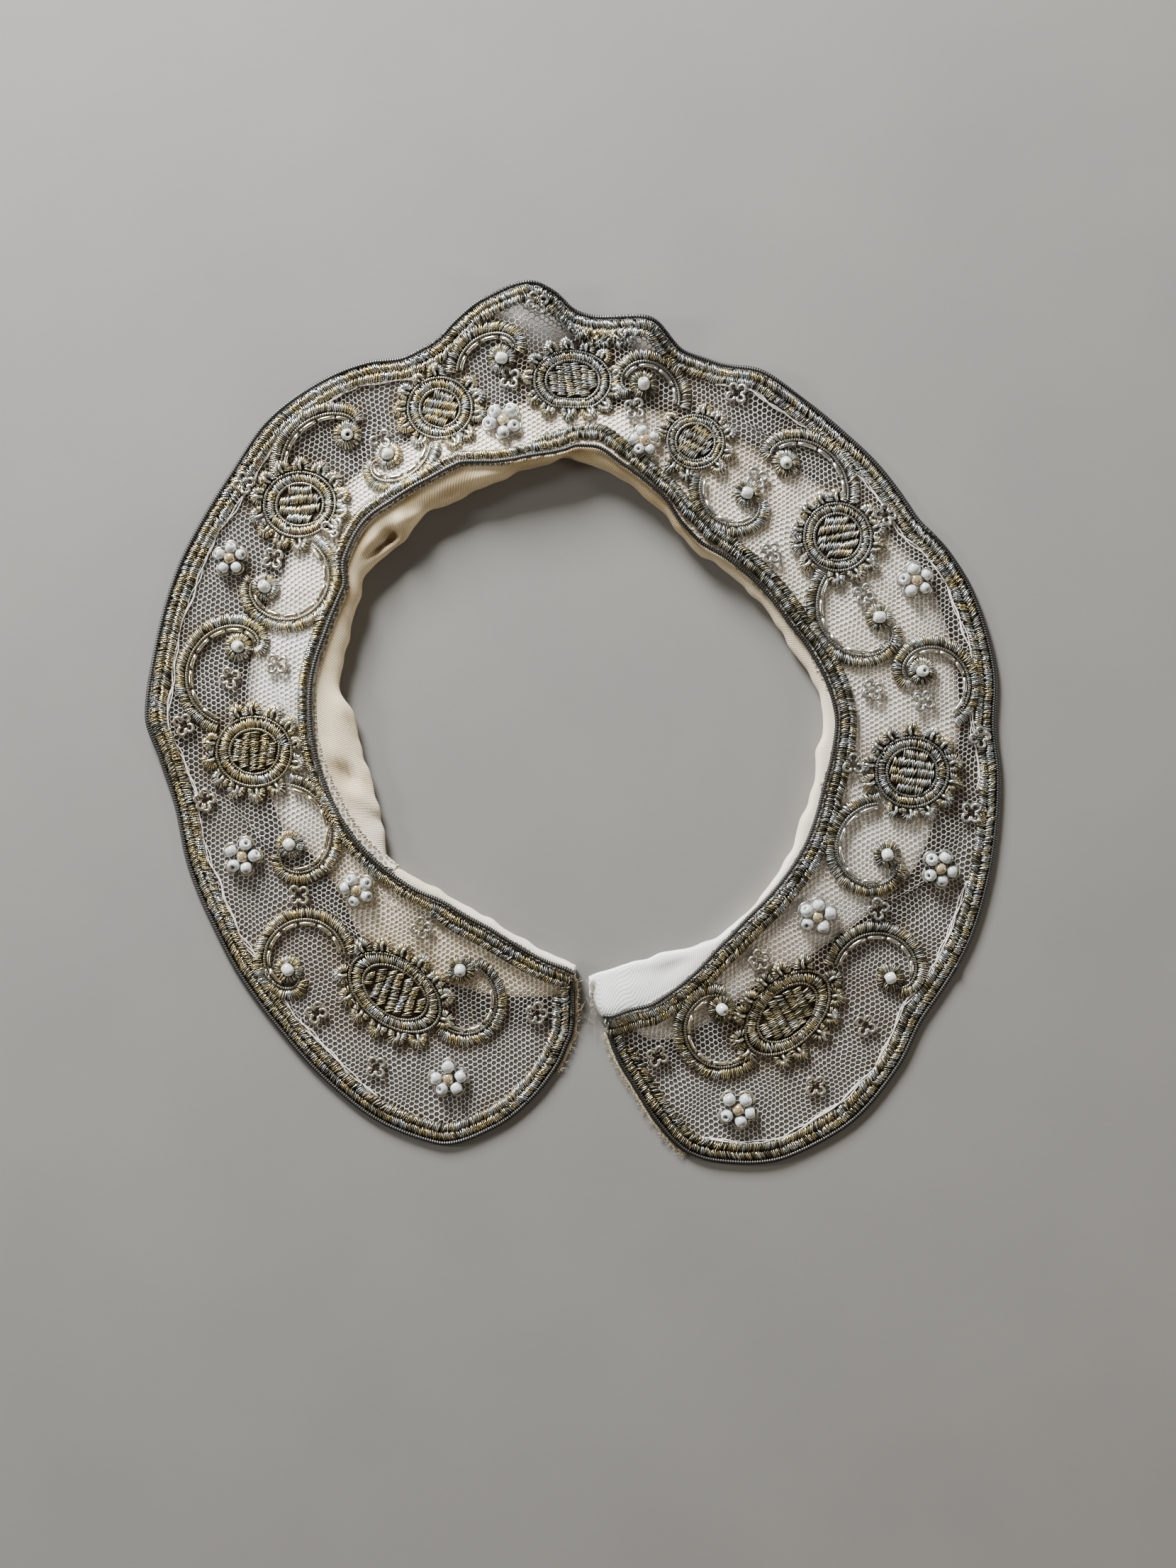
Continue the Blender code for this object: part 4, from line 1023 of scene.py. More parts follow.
class COLLAR_OT_net(bpy.types.Operator):
    """Make the hexagonal net in two halves that meet at the back, and its hem"""

    bl_idname = "collar.net"
    bl_label = "Net"

    def execute(self, context):
        settings = context.scene.collar
        made = net_material(settings)
        pitch = settings.mm("net_pitch")
        column_gap = 1.5 * pitch / math.sqrt(3)
        columns = np.arange(-int(NET_SPREAD / column_gap), int(NET_SPREAD / column_gap) + 1)
        rows = np.arange(-int(NET_SPREAD / pitch), int(NET_SPREAD / pitch) + 1)
        column, row = np.meshgrid(columns, rows)
        x = (column * column_gap).reshape(-1)
        y = ((row + 0.5 * (column % 2)) * pitch).reshape(-1)
        bearing, radius = polar(x, y)
        section = section_at(bearing)
        start = section.neck + NET_FROM_NECK + 2.2 * cord_gap(bearing)
        keep = (radius > start) & (radius < section.edge - NET_FROM_EDGE)
        keep &= (bearing > FRONT_LEFT) & (bearing < FRONT_RIGHT)
        x, y = x[keep], y[keep]
        template = cell_shape(settings)
        for name, side in (("net_left", x < 0), ("net_right", x >= 0)):
            piece = put_in_scene(name, self.half(name, template, x[side], y[side]), made, "net", "net_ground")
        self.hem(made)
        return {"FINISHED"}

    def half(self, name, template, x, y):
        """The mesh of half the net: flat cells, merged, then pulled out of shape and laid down."""
        points, faces = template
        spread = np.stack([x, y, np.zeros(len(x))], axis=-1)[:, None, :] + points[None, :, :]
        mesh = joined(name, spread.reshape(-1, 3) * MM, faces, len(points))
        bm = bmesh.new()
        bm.from_mesh(mesh)
        bmesh.ops.remove_doubles(bm, verts=bm.verts, dist=2e-6)
        bm.to_mesh(mesh)
        bm.free()
        co = np.empty(len(mesh.vertices) * 3)
        mesh.vertices.foreach_get("co", co)
        co = co.reshape(-1, 3) / MM
        rng = np.random.default_rng(11)
        moved_x, moved_y = stretched(co[:, 0].copy(), co[:, 1].copy())
        moved_x += rng.normal(0, NET_UNEVEN, len(co))
        moved_y += rng.normal(0, NET_UNEVEN, len(co))
        bearing, radius = polar(moved_x, moved_y)
        pressed = smooth((section_at(bearing).tuck - radius) / PRESSED_STRIP)
        height = lay(moved_x, moved_y) + co[:, 2] * (1 - PRESSED_FLAT * pressed) - PRESSED_DOWN * pressed
        placed = to_frame(np.column_stack([moved_x, moved_y, height]))
        mesh.vertices.foreach_set("co", placed.reshape(-1))
        # How much shade is painted on the threads: most at their lower edges, less where the net lies on the
        # satin.
        deep = (1 - 0.9 * pressed) * np.clip(co[:, 2] / co[:, 2].min(), 0, 1)
        write_numbers(mesh, deep=deep, stain=self.stain(moved_x, moved_y) * (1 - 0.6 * pressed))
        mesh.update()
        mesh.shade_smooth()
        return mesh

    def stain(self, x, y):
        """How brown the net's threads are at each place: most beside the metal threads."""
        angles = np.linspace(0, 2 * math.pi, 60)
        metal = [oval_points(medallion, angles, 1.0, 2.4) for medallion in MEDALLIONS]
        metal += [scroll_line(scroll, np.linspace(0, 1, 40))[0] for scroll in SCROLLS]
        metal.append(np.array([(spot.x, spot.y) for spot in LOOP_FLOWERS + BEAD_FLOWERS]))
        metal.append(inset_path(edge_path(), 3.6))
        metal = np.vstack(metal)
        tree = KDTree(len(metal))
        for index, (a, b) in enumerate(metal):
            tree.insert((a, b, 0.0), index)
        tree.balance()
        gaps = np.array([tree.find((a, b, 0.0))[2] for a, b in zip(x, y)])
        return 0.75 * np.clip(1.15 - gaps / 3.2 + 0.7 * clouds(x, y, 5.0, 3.0), 0, 1)

    def hem(self, made):
        """The net's turned edge shows inside the chip rows as bunched threads that waver."""
        lines = []
        for start, end in HEM_STRETCHES:
            bearings = np.arange(start, end, PATH_STEP)
            for strand in range(3):
                waver = 0.45 * np.sin(bearings / 2.3 + 0.7 * strand)
                waver += 0.3 * np.sin(bearings / (0.8 + 0.15 * strand) + 2 * strand)
                line = at_bearing(bearings, section_at(bearings).edge - (HEM_RIDGE + waver))
                lines.append(settled(line, 0.1 + 0.03 * strand))
        add_cords("net_hem", lines, 0.12, made, "net", sides=4)


# Satin

# Rows of the satin's grid: under the net, round the fold, and back along the floor.
TOP_ROWS = 12
ARC_ROWS = 19
FLOOR_ROWS = 7

FOLD_ROW = TOP_ROWS + ARC_ROWS // 2
SATIN_COLUMNS = 460

# How high the satin's middle lies on the floor and how far it lies under the solid net, in millimetres.
SATIN_FLOOR = 0.25
SATIN_UNDER_NET = 0.15
# How far round the satin's angle is counted as length.
SATIN_RADIUS = 62.0
# How thick the satin is, and the bearing from which its end comes loose from the hidden edge.
SATIN_THICKNESS = 0.25
SATIN_LOOSE_FROM = 168

# How thick the seam tape is, and how wide at these bearings.
TAPE_THICKNESS = 0.2
TAPE_WIDTHS = ((-129, 2.2), (-108, 2.0), (-92, 0.9), (-14, 0.5))

# How many fibres fray from the left front, the right front and the satin's end, and how many are long.
FIBRES = (70, 150, 80)
LONG_FIBRES = 9


def satin_section(bearing):
    """Radii and heights across the satin: under the net, round the fold and back along the floor."""
    section = section_at(bearing)
    loose = smooth((bearing - SATIN_LOOSE_FROM) / 6)
    outer = section.tuck + (section.neck + 1.2 - section.tuck) * loose
    radii, heights = [], []
    for t in np.linspace(0, 1, TOP_ROWS, endpoint=False):
        radius = outer + (section.neck - outer) * t
        sag = 0.09 * (1 + np.sin(np.radians(bearing) * 31 + radius * 0.35))
        radii.append(radius)
        sag = sag * math.sin(math.pi * min(t + 0.12, 1))
        heights.append(underside(bearing, radius) - SATIN_UNDER_NET - sag)
    crown = underside(bearing, section.neck) - SATIN_UNDER_NET
    deep = section.neck - section.fold - 0.2
    for angle in np.linspace(0, math.pi, ARC_ROWS):
        radii.append(section.neck - deep * math.sin(angle) ** 0.9)
        heights.append(SATIN_FLOOR + (crown - SATIN_FLOOR) * (1 + math.cos(angle)) / 2)
    for t in np.linspace(0, 0.6, FLOOR_ROWS + 1)[1:]:
        radii.append(section.neck + (outer - section.neck) * t)
        heights.append(np.full(len(bearing), SATIN_FLOOR))
    return np.array(radii), np.array(heights)


def crease_depth(x, y, spread=1.0):
    """How far the creases push the satin up or down at each place."""
    depth = np.zeros(x.shape)
    for crease in CREASES:
        angle = math.radians(crease.heading)
        along = (x - crease.x) * math.cos(angle) + (y - crease.y) * math.sin(angle)
        across = -(x - crease.x) * math.sin(angle) + (y - crease.y) * math.cos(angle)
        length, width = crease.length * spread, crease.width * spread
        depth += crease.depth * np.exp(-((along / length) ** 2) - (across / width) ** 2)
    return depth


class COLLAR_OT_satin(bpy.types.Operator):
    """Make the folded satin at the neck, the seam tape beside it and the frayed edges at the front"""

    bl_idname = "collar.satin"
    bl_label = "Satin neckband"

    def execute(self, context):
        settings = context.scene.collar
        bearing = np.linspace(FRONT_LEFT, SATIN_END, SATIN_COLUMNS)
        radii, heights = satin_section(bearing)
        angle = np.radians(bearing)
        # The fold wavers, and the creases show on its outside and lift what lies on the floor.
        wave = 0.3 * np.sin(angle * 23) + 0.3 * np.sin(angle * 41 + 1) + 0.15 * np.sin(angle * 67 + 2)
        row = np.arange(len(radii))[:, None]
        arc = np.clip(1 - np.abs(row - FOLD_ROW) / 8.0, 0, 1)
        moved = radii - 0.6 * wave[None, :] * arc
        x, y = moved * np.sin(angle), moved * np.cos(angle)
        shown = ((row >= TOP_ROWS) & (row <= FOLD_ROW)) * smooth((row - TOP_ROWS) / 3.0)
        below = (row > FOLD_ROW + 4) * 0.8
        depth = crease_depth(x, y)
        z = np.maximum(heights + depth * shown + np.maximum(depth, 0) * below, 0.2)
        run = np.hypot(np.diff(radii, axis=0), np.diff(heights, axis=0))
        across = np.vstack([np.zeros((1, len(bearing))), np.cumsum(run, axis=0)])
        fold, under, brown = (np.interp(bearing, BEARINGS, column)[None, :] for column in PALE_COLUMNS)
        pale = np.clip(np.where(row < TOP_ROWS, under, fold), 0, 1)
        # Painted shade on the fold, darkest at the back, and in the troughs of the creases.
        hollow = np.clip(brown * (row > TOP_ROWS) - 0.36 * crease_depth(x, y, 1.5), 0, 0.8)
        numbers = {"along": angle[None, :] * SATIN_RADIUS, "across": across, "pale": pale, "hollow": hollow}
        bm = bmesh.new()
        add_grid(bm, np.stack([x, y, z], axis=-1), numbers)
        mesh = finished("satin_band", bm)
        band = put_in_scene("satin_band", mesh, satin_material(settings), "satin", "neckband")
        thicken(band, SATIN_THICKNESS)
        area = sum(poly.area for poly in mesh.polygons)
        tape = self.tape(bearing, radii, heights)
        self.raw_edges()
        return {"FINISHED"}

    def tape(self, bearing, radii, heights):
        """A strip of cotton tape between the neck cord and the satin, with a line of stitches."""
        kept = np.flatnonzero((bearing > TAPE_WIDTHS[0][0]) & (bearing < TAPE_WIDTHS[-1][0]))
        neck = section_at(bearing).neck
        width = np.interp(bearing, *zip(*TAPE_WIDTHS))
        arc = slice(TOP_ROWS, FOLD_ROW)
        points = np.empty((6, len(kept), 3))
        for row, share in enumerate(np.linspace(0, 1, 6)):
            for column, k in enumerate(kept):
                radius = neck[k] + 0.5 - (width[k] + 0.5) * share
                height = np.interp(-radius, -radii[arc, k], heights[arc, k])
                points[row, column, :2] = at_bearing(bearing[k], radius)[0]
                points[row, column, 2] = height + 0.12
        bm = bmesh.new()
        add_grid(bm, points, {})
        tape = put_in_scene("seam_tape", finished("seam_tape", bm), tape_material(), "net")
        thicken(tape, TAPE_THICKNESS)
        line, run, _ = resampled(points[4, :, :2], 0.8)
        turn = np.arctan2(run[:, 1], run[:, 0]) + 0.5
        base = np.interp(np.arange(len(line)), np.linspace(0, len(line) - 1, len(kept)), points[4, :, 2])
        rows = [Row(x, y, heading, 0.62, 0.26, 0.3, 0.12) for (x, y), heading in zip(line, turn)]
        thread = thread_material("sewing_thread", "#d6cbb2", "#a39478")
        add_copies("tape_stitches", chip_shape(), rows, thread, "net", base=base)
        return tape

    def raw_edges(self):
        """The net's cut edge shows outside the cords at both fronts, and frays with the satin's end."""
        rng = np.random.default_rng(61)
        edge = edge_path()
        left, right = inset_path(edge[:11], -0.2), inset_path(edge[-24:], -0.2)
        bars = [line_along(path, 0.5, 0.05) for path in (left, right)]
        tan = thread_material("frayed_cotton", "#d2c7ac", "#a5967a")
        add_cords("raw_net_edge", bars, 0.42, tan, "net", winding=Winding(flat=0.4))
        end = at_bearing(SATIN_END, np.linspace(62, 69, 12))
        fibres = []
        for path, count in zip((left, right, end), FIBRES):
            points, run, _ = resampled(path, 0.1)
            for _ in range(count):
                k = rng.integers(len(points))
                out = np.arctan2(-run[k, 0], run[k, 1]) + rng.normal(math.pi, 0.7)
                fibres.append(self.fibre(rng, points[k], out, rng.uniform(0.8, 1.9)))
        for _ in range(LONG_FIBRES):
            start = np.array([2.2, -68.0]) + rng.normal(0, 1.2, 2)
            fibres.append(self.fibre(rng, start, rng.uniform(-2.4, -0.9), rng.uniform(4, 8)))
        add_cords("frayed_fibres", fibres, 0.045, tan, "net", sides=3)

    def fibre(self, rng, start, heading, length):
        """A loose fibre from a point: it bends, rises and comes down again."""
        t = np.linspace(0, 1, 6)
        bend = heading + rng.normal(0, 0.9) * t
        step = np.column_stack([np.cos(bend), np.sin(bend)]) * length / 5
        points = start + np.cumsum(step, axis=0) - step[0]
        height = 0.5 + rng.uniform(0, 0.8) * np.sin(t * 2.2)
        return np.column_stack([points, lay(points[:, 0], points[:, 1]) * (1 - 0.5 * t) + height * 0.6])


# Purl, cords and beads

# How far in from the outer edge the middles of its two rows of chips lie, and how far in the rows reach.
OUTER_ROW_INSET = 2.4
INNER_ROW_INSET = 4.4
EDGE_ROWS_REACH = 5.2
# The width from which the neck has two rows of chips.
TWO_ROWS_WIDTH = 2.8
# The ruffled chips at the back: between which bearings, how far in from the edge, and how many.
RUFFLE_BEARINGS = (-4.5, 8.5)
RUFFLE_INSETS = (4.6, 7.6)
RUFFLE_CHIPS = 95
# How many chips stand round a pearl.
ROSETTE_CHIPS = 42
# How wide the pearls, the white beads and the gilt beads are.
PEARL_SIZE = 2.9
WHITE_SIZE = 3.0
GILT_SIZE = 2.7


def padding():
    """A dark bed that shows between the chips: painted shade for the shadowed gaps between them."""
    return thread_material("stained_padding", "#4c4130", "#2c251a")


class COLLAR_OT_borders(bpy.types.Operator):
    """Make the rows of purl chips along the outer edge and the neck, and the wrapped cords beside them"""

    bl_idname = "collar.borders"
    bl_label = "Borders"

    def execute(self, context):
        settings = context.scene.collar
        rng = np.random.default_rng(21)
        purl = metal_material("coiled_purl", settings, "#3a3725", 0.2, 0.3)
        edge = edge_path()
        # The two rows stop a little before the fronts' corners, the inner one earlier.
        outer, inner = inset_path(edge, OUTER_ROW_INSET)[4:-4], inset_path(edge, INNER_ROW_INSET)[10:-12]
        rows = rows_along(rng, settings, outer, 2.2, slant=0.2)
        rows += rows_along(rng, settings, inner, 2.15, slant=-0.22)
        rows += self.ruffle(rng, settings)
        add_chips("outer_purl", rng, rows, purl, "silvered_purl", "outer_border")
        beds = [bed_along(outer), bed_along(inner)] + self.neck(rng, settings, purl)
        # Dark beds of painted shade under the chip rows.
        flat = Winding(flat=0.16)
        add_cords("border_padding", beds, 0.98, padding(), "silvered_purl", winding=flat)
        self.cords(settings, edge)
        return {"FINISHED"}

    def ruffle(self, rng, settings):
        """Chips that lie anyhow where the edge ripples at the back."""
        width = settings.mm("chip_width")
        rows = []
        for _ in range(RUFFLE_CHIPS):
            bearing = rng.uniform(*RUFFLE_BEARINGS)
            radius = float(section_at(bearing).edge) - rng.uniform(*RUFFLE_INSETS)
            x, y = at_bearing(bearing, radius)[0]
            heading = math.radians(80 - bearing) + rng.normal(0, 0.55)
            rows.append(Row(x, y, heading, rng.uniform(1.6, 2.3), width, 1.1, rng.uniform(0.3, 0.7)))
        return rows

    def neck(self, rng, settings, purl):
        """The chip rows along the neck, one or two of them; gives the lines of the dark beds of painted shade
        under them.
        """
        bearings = np.arange(FRONT_LEFT + 1.2, FRONT_RIGHT - 0.6, PATH_STEP)
        width = np.interp(bearings, BEARINGS, NECK_WIDTHS)
        start = section_at(bearings).neck + neck_reach(bearings) - width
        two = width > TWO_ROWS_WIDTH
        first = at_bearing(bearings, start + np.where(two, width * 0.27, width * 0.5))
        rows = rows_along(rng, settings, first, 2.1, slant=0.15)
        beds = [bed_along(first)]
        for wanted in (bearings < -100, bearings > -20):
            stretch = two & wanted
            second = at_bearing(bearings[stretch], (start + width * 0.77)[stretch])
            rows += rows_along(rng, settings, second, 2.0, slant=-0.2)
            beds.append(bed_along(second))
        add_chips("neck_purl", rng, rows, purl, "silvered_purl", "neck_border")
        return beds

    def cords(self, settings, edge):
        """The wrapped cords along the outer edge and the neck."""
        steel = metal_material("wrapped_steel_wire", settings, "#15130e", 0.26)
        # The winding paints shade on the cords' sides and underside and in the grooves between their turns.
        winding = Winding(pitch=0.6, groove=0.45, dark=1.5, rim=0.9, gilt=0.3)
        bearings = np.arange(FRONT_LEFT, FRONT_RIGHT, PATH_STEP)
        neck = at_bearing(bearings, section_at(bearings).neck + NECK_CORD_INSET)
        for side, path in (("outer", inset_path(edge, EDGE_CORD_INSET)), ("neck", neck)):
            name, node = f"{side}_wrapped_cord", f"{side}_cord"
            line = line_along(path, 0.2, CORD_RADIUS)
            form = {"sides": 8, "winding": winding, "shade": 0.55}
            add_cords(name, [line], 0.66, steel, "wrapped_cord", node, **form)


def scroll_feet(number):
    """Where this medallion's scrolls spring from it."""
    return [(s.foot_x, s.foot_y) for s in SCROLLS if s.name.startswith(str(number))]


# A two-ply twist: its plies show as slanting beads 0.6 mm apart, with painted shade in the grooves between
# them.
TWIST = Winding(pitch=0.6, groove=0.48, dark=1.6)


def clear_of_rows(point):
    """Whether a point lies between the neck's rows and the outer edge's rows."""
    bearing, radius = polar(*point)
    section = section_at(bearing)
    return section.neck + neck_reach(bearing) < radius < section.edge - EDGE_ROWS_REACH


def blunt(places):
    """Places along a tube, with one more close to each end, so that it ends squarely and not in a point."""
    return np.concatenate([places[:1], places[:1] + 0.03, places[1:-1], places[-1:] - 0.03, places[-1:]])


class COLLAR_OT_medallions(bpy.types.Operator):
    """Make the medallions: woven centre, two cord rings, a ring of chips between them and petals"""

    bl_idname = "collar.medallions"
    bl_label = "Medallions"

    def execute(self, context):
        settings = context.scene.collar
        rng = np.random.default_rng(31)
        rows, rings, spirals, hooks, hearts = [], [], [], [], []
        beds = bmesh.new()
        angles = np.linspace(0, 2 * math.pi, 241)
        for number, medallion in enumerate(MEDALLIONS, 1):
            rows += self.centre(rng, settings, medallion) + self.ring(rng, settings, medallion)
            chips, loops, discs = self.petals(rng, settings, medallion, scroll_feet(number))
            rows += chips
            hooks += loops
            hearts += discs
            rings.append(self.closed_ring(oval_points(medallion, angles, 1.0)))
            if medallion.spiral is None:
                rings.append(self.closed_ring(oval_points(medallion, angles, medallion.inner)))
            else:
                spirals.append(self.spiral(medallion))
            # A dark disc of painted shade under this medallion's chips.
            disc = np.stack([oval_points(medallion, angles[::6], share) for share in np.linspace(0, 0.97, 6)])
            height = lay(disc[..., 0].reshape(-1), disc[..., 1].reshape(-1)).reshape(disc.shape[:2])
            add_grid(beds, np.dstack([disc, height + 0.12]), {})
        slot = "pale_gold_purl"
        purl = metal_material("gilt_coiled_purl", settings, "#504a33", 0.27, 0.3)
        add_chips("medallion_purl", rng, rows, purl, slot, *numbered("medallion", MEDALLIONS))
        # Dark beds of painted shade under the medallions' chips and petals.
        thicken(put_in_scene("medallion_padding", finished("medallion_padding", beds), padding(), slot), 0.08)
        add_copies("petal_padding", pad_shape(), hearts, padding(), slot)
        cord = metal_material("twisted_gilt_cord", settings, "#17130c", 0.2)
        add_cords("medallion_cords", rings, 0.45, cord, slot, winding=TWIST, closed=True)
        add_cords("medallion_spirals", spirals, 0.45, cord, slot, winding=TWIST)
        wire = metal_material("petal_wire", settings, "#2a241b", 0.3)
        # The loops get less painted shade on their sides than the cords.
        bright = Winding(rim=0.6, gilt=0.5)
        add_cords("petal_loops", hooks, 0.38, wire, slot, winding=bright, shade=-0.2)
        return {"FINISHED"}

    def closed_ring(self, path):
        """A cord ring's line, whose end is its start."""
        line = resampled(path, CORD_STEP)[0]
        line[-1] = line[0]
        return settled(line, 0.62)

    def spiral(self, medallion):
        """The inner cord, whose end runs on outside its start."""
        turn = np.linspace(0, 1, 300)
        angles = math.radians(medallion.spiral) + 2 * math.pi * 1.16 * turn
        shares = medallion.inner + 0.2 * smooth((turn - 0.78) / 0.22)
        line = [oval_points(medallion, np.array([angle]), share)[0] for angle, share in zip(angles, shares)]
        return line_along(line, CORD_STEP, 0.66)

    def centre(self, rng, settings, medallion):
        """Chips laid across columns, side by side, within the inner cord ring."""
        turn = math.radians(medallion.weave)
        run = np.array([math.cos(turn), math.sin(turn)])
        side = np.array([-run[1], run[0]])
        room = medallion.inner - 0.75 / medallion.short
        lean = turn + math.pi / 2 - math.radians(medallion.turn)
        extent = math.hypot(medallion.long * math.cos(lean), medallion.short * math.sin(lean))
        reach = extent * medallion.inner - 1.7
        facing = turn + math.pi / 2 + math.radians(medallion.slant)
        width = settings.mm("chip_width")
        rows = []
        for column in np.linspace(-reach, reach, round(reach / 1.05) + 1):
            for step in np.arange(-medallion.long, medallion.long, settings.mm("chip_spacing")):
                bend = 0.25 * math.sin(step * 0.5 + column)
                spot = np.array([medallion.x, medallion.y]) + run * step + side * (column + bend)
                if oval_share(medallion, spot[None, :])[0] > room:
                    continue
                if medallion.flat < 1 and spot[1] < medallion.y - medallion.short * medallion.flat * room:
                    continue
                heading = facing + rng.normal(0, 0.16)
                high, lift = rng.uniform(0.95, 1.25), rng.uniform(0.4, 0.6)
                rows.append(Row(*spot, heading, rng.uniform(2.1, 2.5), width, high, lift))
        return rows

    def ring(self, rng, settings, medallion):
        """Chips that stand outwards between the two cord rings."""
        angles = np.linspace(0, 2 * math.pi, 200)
        inner, outer = oval_points(medallion, angles, medallion.inner), oval_points(medallion, angles, 1.0)
        length = float(np.hypot(*(outer - inner).T).mean()) - 0.6
        return rows_along(rng, settings, (inner + outer) / 2, length, slant=0.08, lift=0.36)

    def petals(self, rng, settings, medallion, feet):
        """Fans of chips round a small tube, outside the outer cord ring."""
        rows, hooks, hearts = [], [], []
        for index in range(medallion.petals):
            angle = 2 * math.pi * (index + 0.5) / medallion.petals + rng.normal(0, 0.04)
            base, tip = (oval_points(medallion, np.array([angle]), 1.0, beyond)[0] for beyond in (0.45, 1.45))
            out = tip - base
            size = medallion.petal / 4.0
            flower = min(math.dist(base + out * 2.5, other[:2]) for other in BEAD_FLOWERS)
            if flower < 4.6 or any(math.dist(base + out * 1.2, foot) < 2.2 for foot in feet):
                continue
            if not clear_of_rows(base + out * medallion.petal * 0.72):
                size *= 0.72
            facing = math.atan2(out[1], out[0])
            heart = base + out * 0.75 * size
            hearts.append(Row(*(heart + out * 0.4), facing, 3.6 * size, 4.0 * size, 0.3, 0.12))
            for turn in range(-110, 111, 10):
                heading = facing + math.radians(turn) + rng.normal(0, 0.06)
                length = size * (2.0 - 0.5 * abs(math.sin(math.radians(turn)))) * rng.uniform(0.88, 1.08)
                x, y = heart + np.array([math.cos(heading), math.sin(heading)]) * (0.75 * size + length / 2)
                lift = 0.5 + 0.15 * math.cos(math.radians(turn))
                rows.append(Row(x, y, heading, length, settings.mm("chip_width") * 0.9, 1.0, lift))
            side = np.array([-out[1], out[0]])
            places = blunt(np.linspace(0, 1, 5))[:, None]
            bow = np.sin(math.pi * places)
            way = heart + out * (2.3 * places - 0.6) * size + side * 0.35 * bow
            hooks.append(settled(way, 0.8 + 0.6 * bow[:, 0]))
        return rows, hooks, hearts


class COLLAR_OT_scrolls(bpy.types.Operator):
    """Make the scrolls: a row of chips, a twisted cord, bugle segments, and a rosette round a pearl"""

    bl_idname = "collar.scrolls"
    bl_label = "Scrolls"

    def execute(self, context):
        settings = context.scene.collar
        rng = np.random.default_rng(41)
        rows, rosettes, cords, bugles, pearls, beds = [], [], [], [], [], []
        for scroll in SCROLLS:
            shares = np.linspace(self.start(scroll), 1.0, 120)
            line, inward = scroll_line(scroll, shares)
            rows += rows_along(rng, settings, line, 2.35, slant=0.12 * scroll.hand)
            beds.append(bed_along(line))
            cords.append(line_along(line + inward * 1.62, CORD_STEP, 0.6))
            bugles += self.bugles(rng, line[:96] + inward[:96] * 2.6)
            rosettes += self.rosette(rng, settings, scroll)
            size = rng.uniform(2.6, 2.9)
            turn = rng.uniform(0, 6.28)
            pearls.append(Row(scroll.pearl_x, scroll.pearl_y, turn, size, PEARL_SIZE, PEARL_SIZE, 1.5))
        slot = "pale_gold_purl"
        purl = metal_material("scroll_purl", settings, "#4e4934", 0.27, 0.3)
        add_chips("scroll_purl", rng, rows, purl, slot, *numbered("scroll", SCROLLS))
        chips = {"tilt": -rng.normal(0.1, 0.12, len(rosettes)), "rng": rng, "dark": 0.2}
        add_copies("pearl_rosettes", chip_shape(), rosettes, purl, slot, **chips)
        # Dark pads of painted shade under the rosettes, and beds of it along the scrolls.
        pads = [Row(scroll.pearl_x, scroll.pearl_y, 0.0, 6.0, 6.0, 0.3, 0.12) for scroll in SCROLLS]
        add_copies("rosette_padding", pad_shape(), pads, padding(), slot)
        add_cords("scroll_padding", beds, 1.0, padding(), slot, winding=Winding(flat=0.14))
        cord = metal_material("twisted_silver_cord", settings, "#17130c", 0.2)
        add_cords("scroll_cords", cords, 0.45, cord, slot, winding=TWIST)
        wire = metal_material("bugle_wire", settings, "#4b4437", 0.24)
        # The bugles get the usual painted shade on their sides and underside.
        add_cords("scroll_bugles", bugles, 0.46, wire, slot, shade=-0.1)
        glass = glass_material("pearl_glass", "#d8dad5", "#bcbeb8")
        tilt = rng.uniform(-0.2, 1.3, len(pearls))
        nodes = numbered("pearl", SCROLLS)
        add_copies("pearls", bead_shape(), pearls, glass, "pearl", *nodes, tilt=tilt)
        return {"FINISHED"}

    def start(self, scroll):
        """Share of the turn at which the scroll has left its medallion's cord ring."""
        shares = np.linspace(0, 0.4, 80)
        line, _ = scroll_line(scroll, shares)
        number = int(scroll.name[0])
        outside = oval_share(MEDALLIONS[number - 1], line) > 1.14
        return float(shares[np.argmax(outside)]) if outside.any() else 0.0

    def bugles(self, rng, path):
        """Short straight tubes, end to end along a path, with small gaps."""
        points, _, along = resampled(path, 0.5)
        made, at = [], 0.4
        while at < along[-1] - 3.0:
            length = rng.uniform(3.6, 4.9)
            stretch = blunt(np.linspace(at, min(at + length, along[-1]), 4))
            spots = np.column_stack([np.interp(stretch, along, points[:, axis]) for axis in (0, 1)])
            made.append(settled(spots, 0.6 + rng.uniform(0, 0.2)))
            at += length + rng.uniform(0.35, 0.8)
        return made

    def rosette(self, rng, settings, scroll):
        """Chips that point outwards all round the scroll's pearl."""
        rows = []
        for index in range(ROSETTE_CHIPS):
            angle = 2 * math.pi * (index + rng.uniform(-0.25, 0.25)) / ROSETTE_CHIPS
            reach = rng.uniform(2.3, 2.6)
            x, y = scroll.pearl_x + reach * math.cos(angle), scroll.pearl_y + reach * math.sin(angle)
            heading = angle + rng.normal(0, 0.12)
            rows.append(Row(x, y, heading, 2.0, settings.mm("chip_width"), 1.1, rng.uniform(0.35, 0.55)))
        return rows


def arc_points(middle, radius, angles):
    """Points at these angles round a middle that has an x and a y."""
    return np.stack([middle.x + radius * np.cos(angles), middle.y + radius * np.sin(angles)], axis=-1)


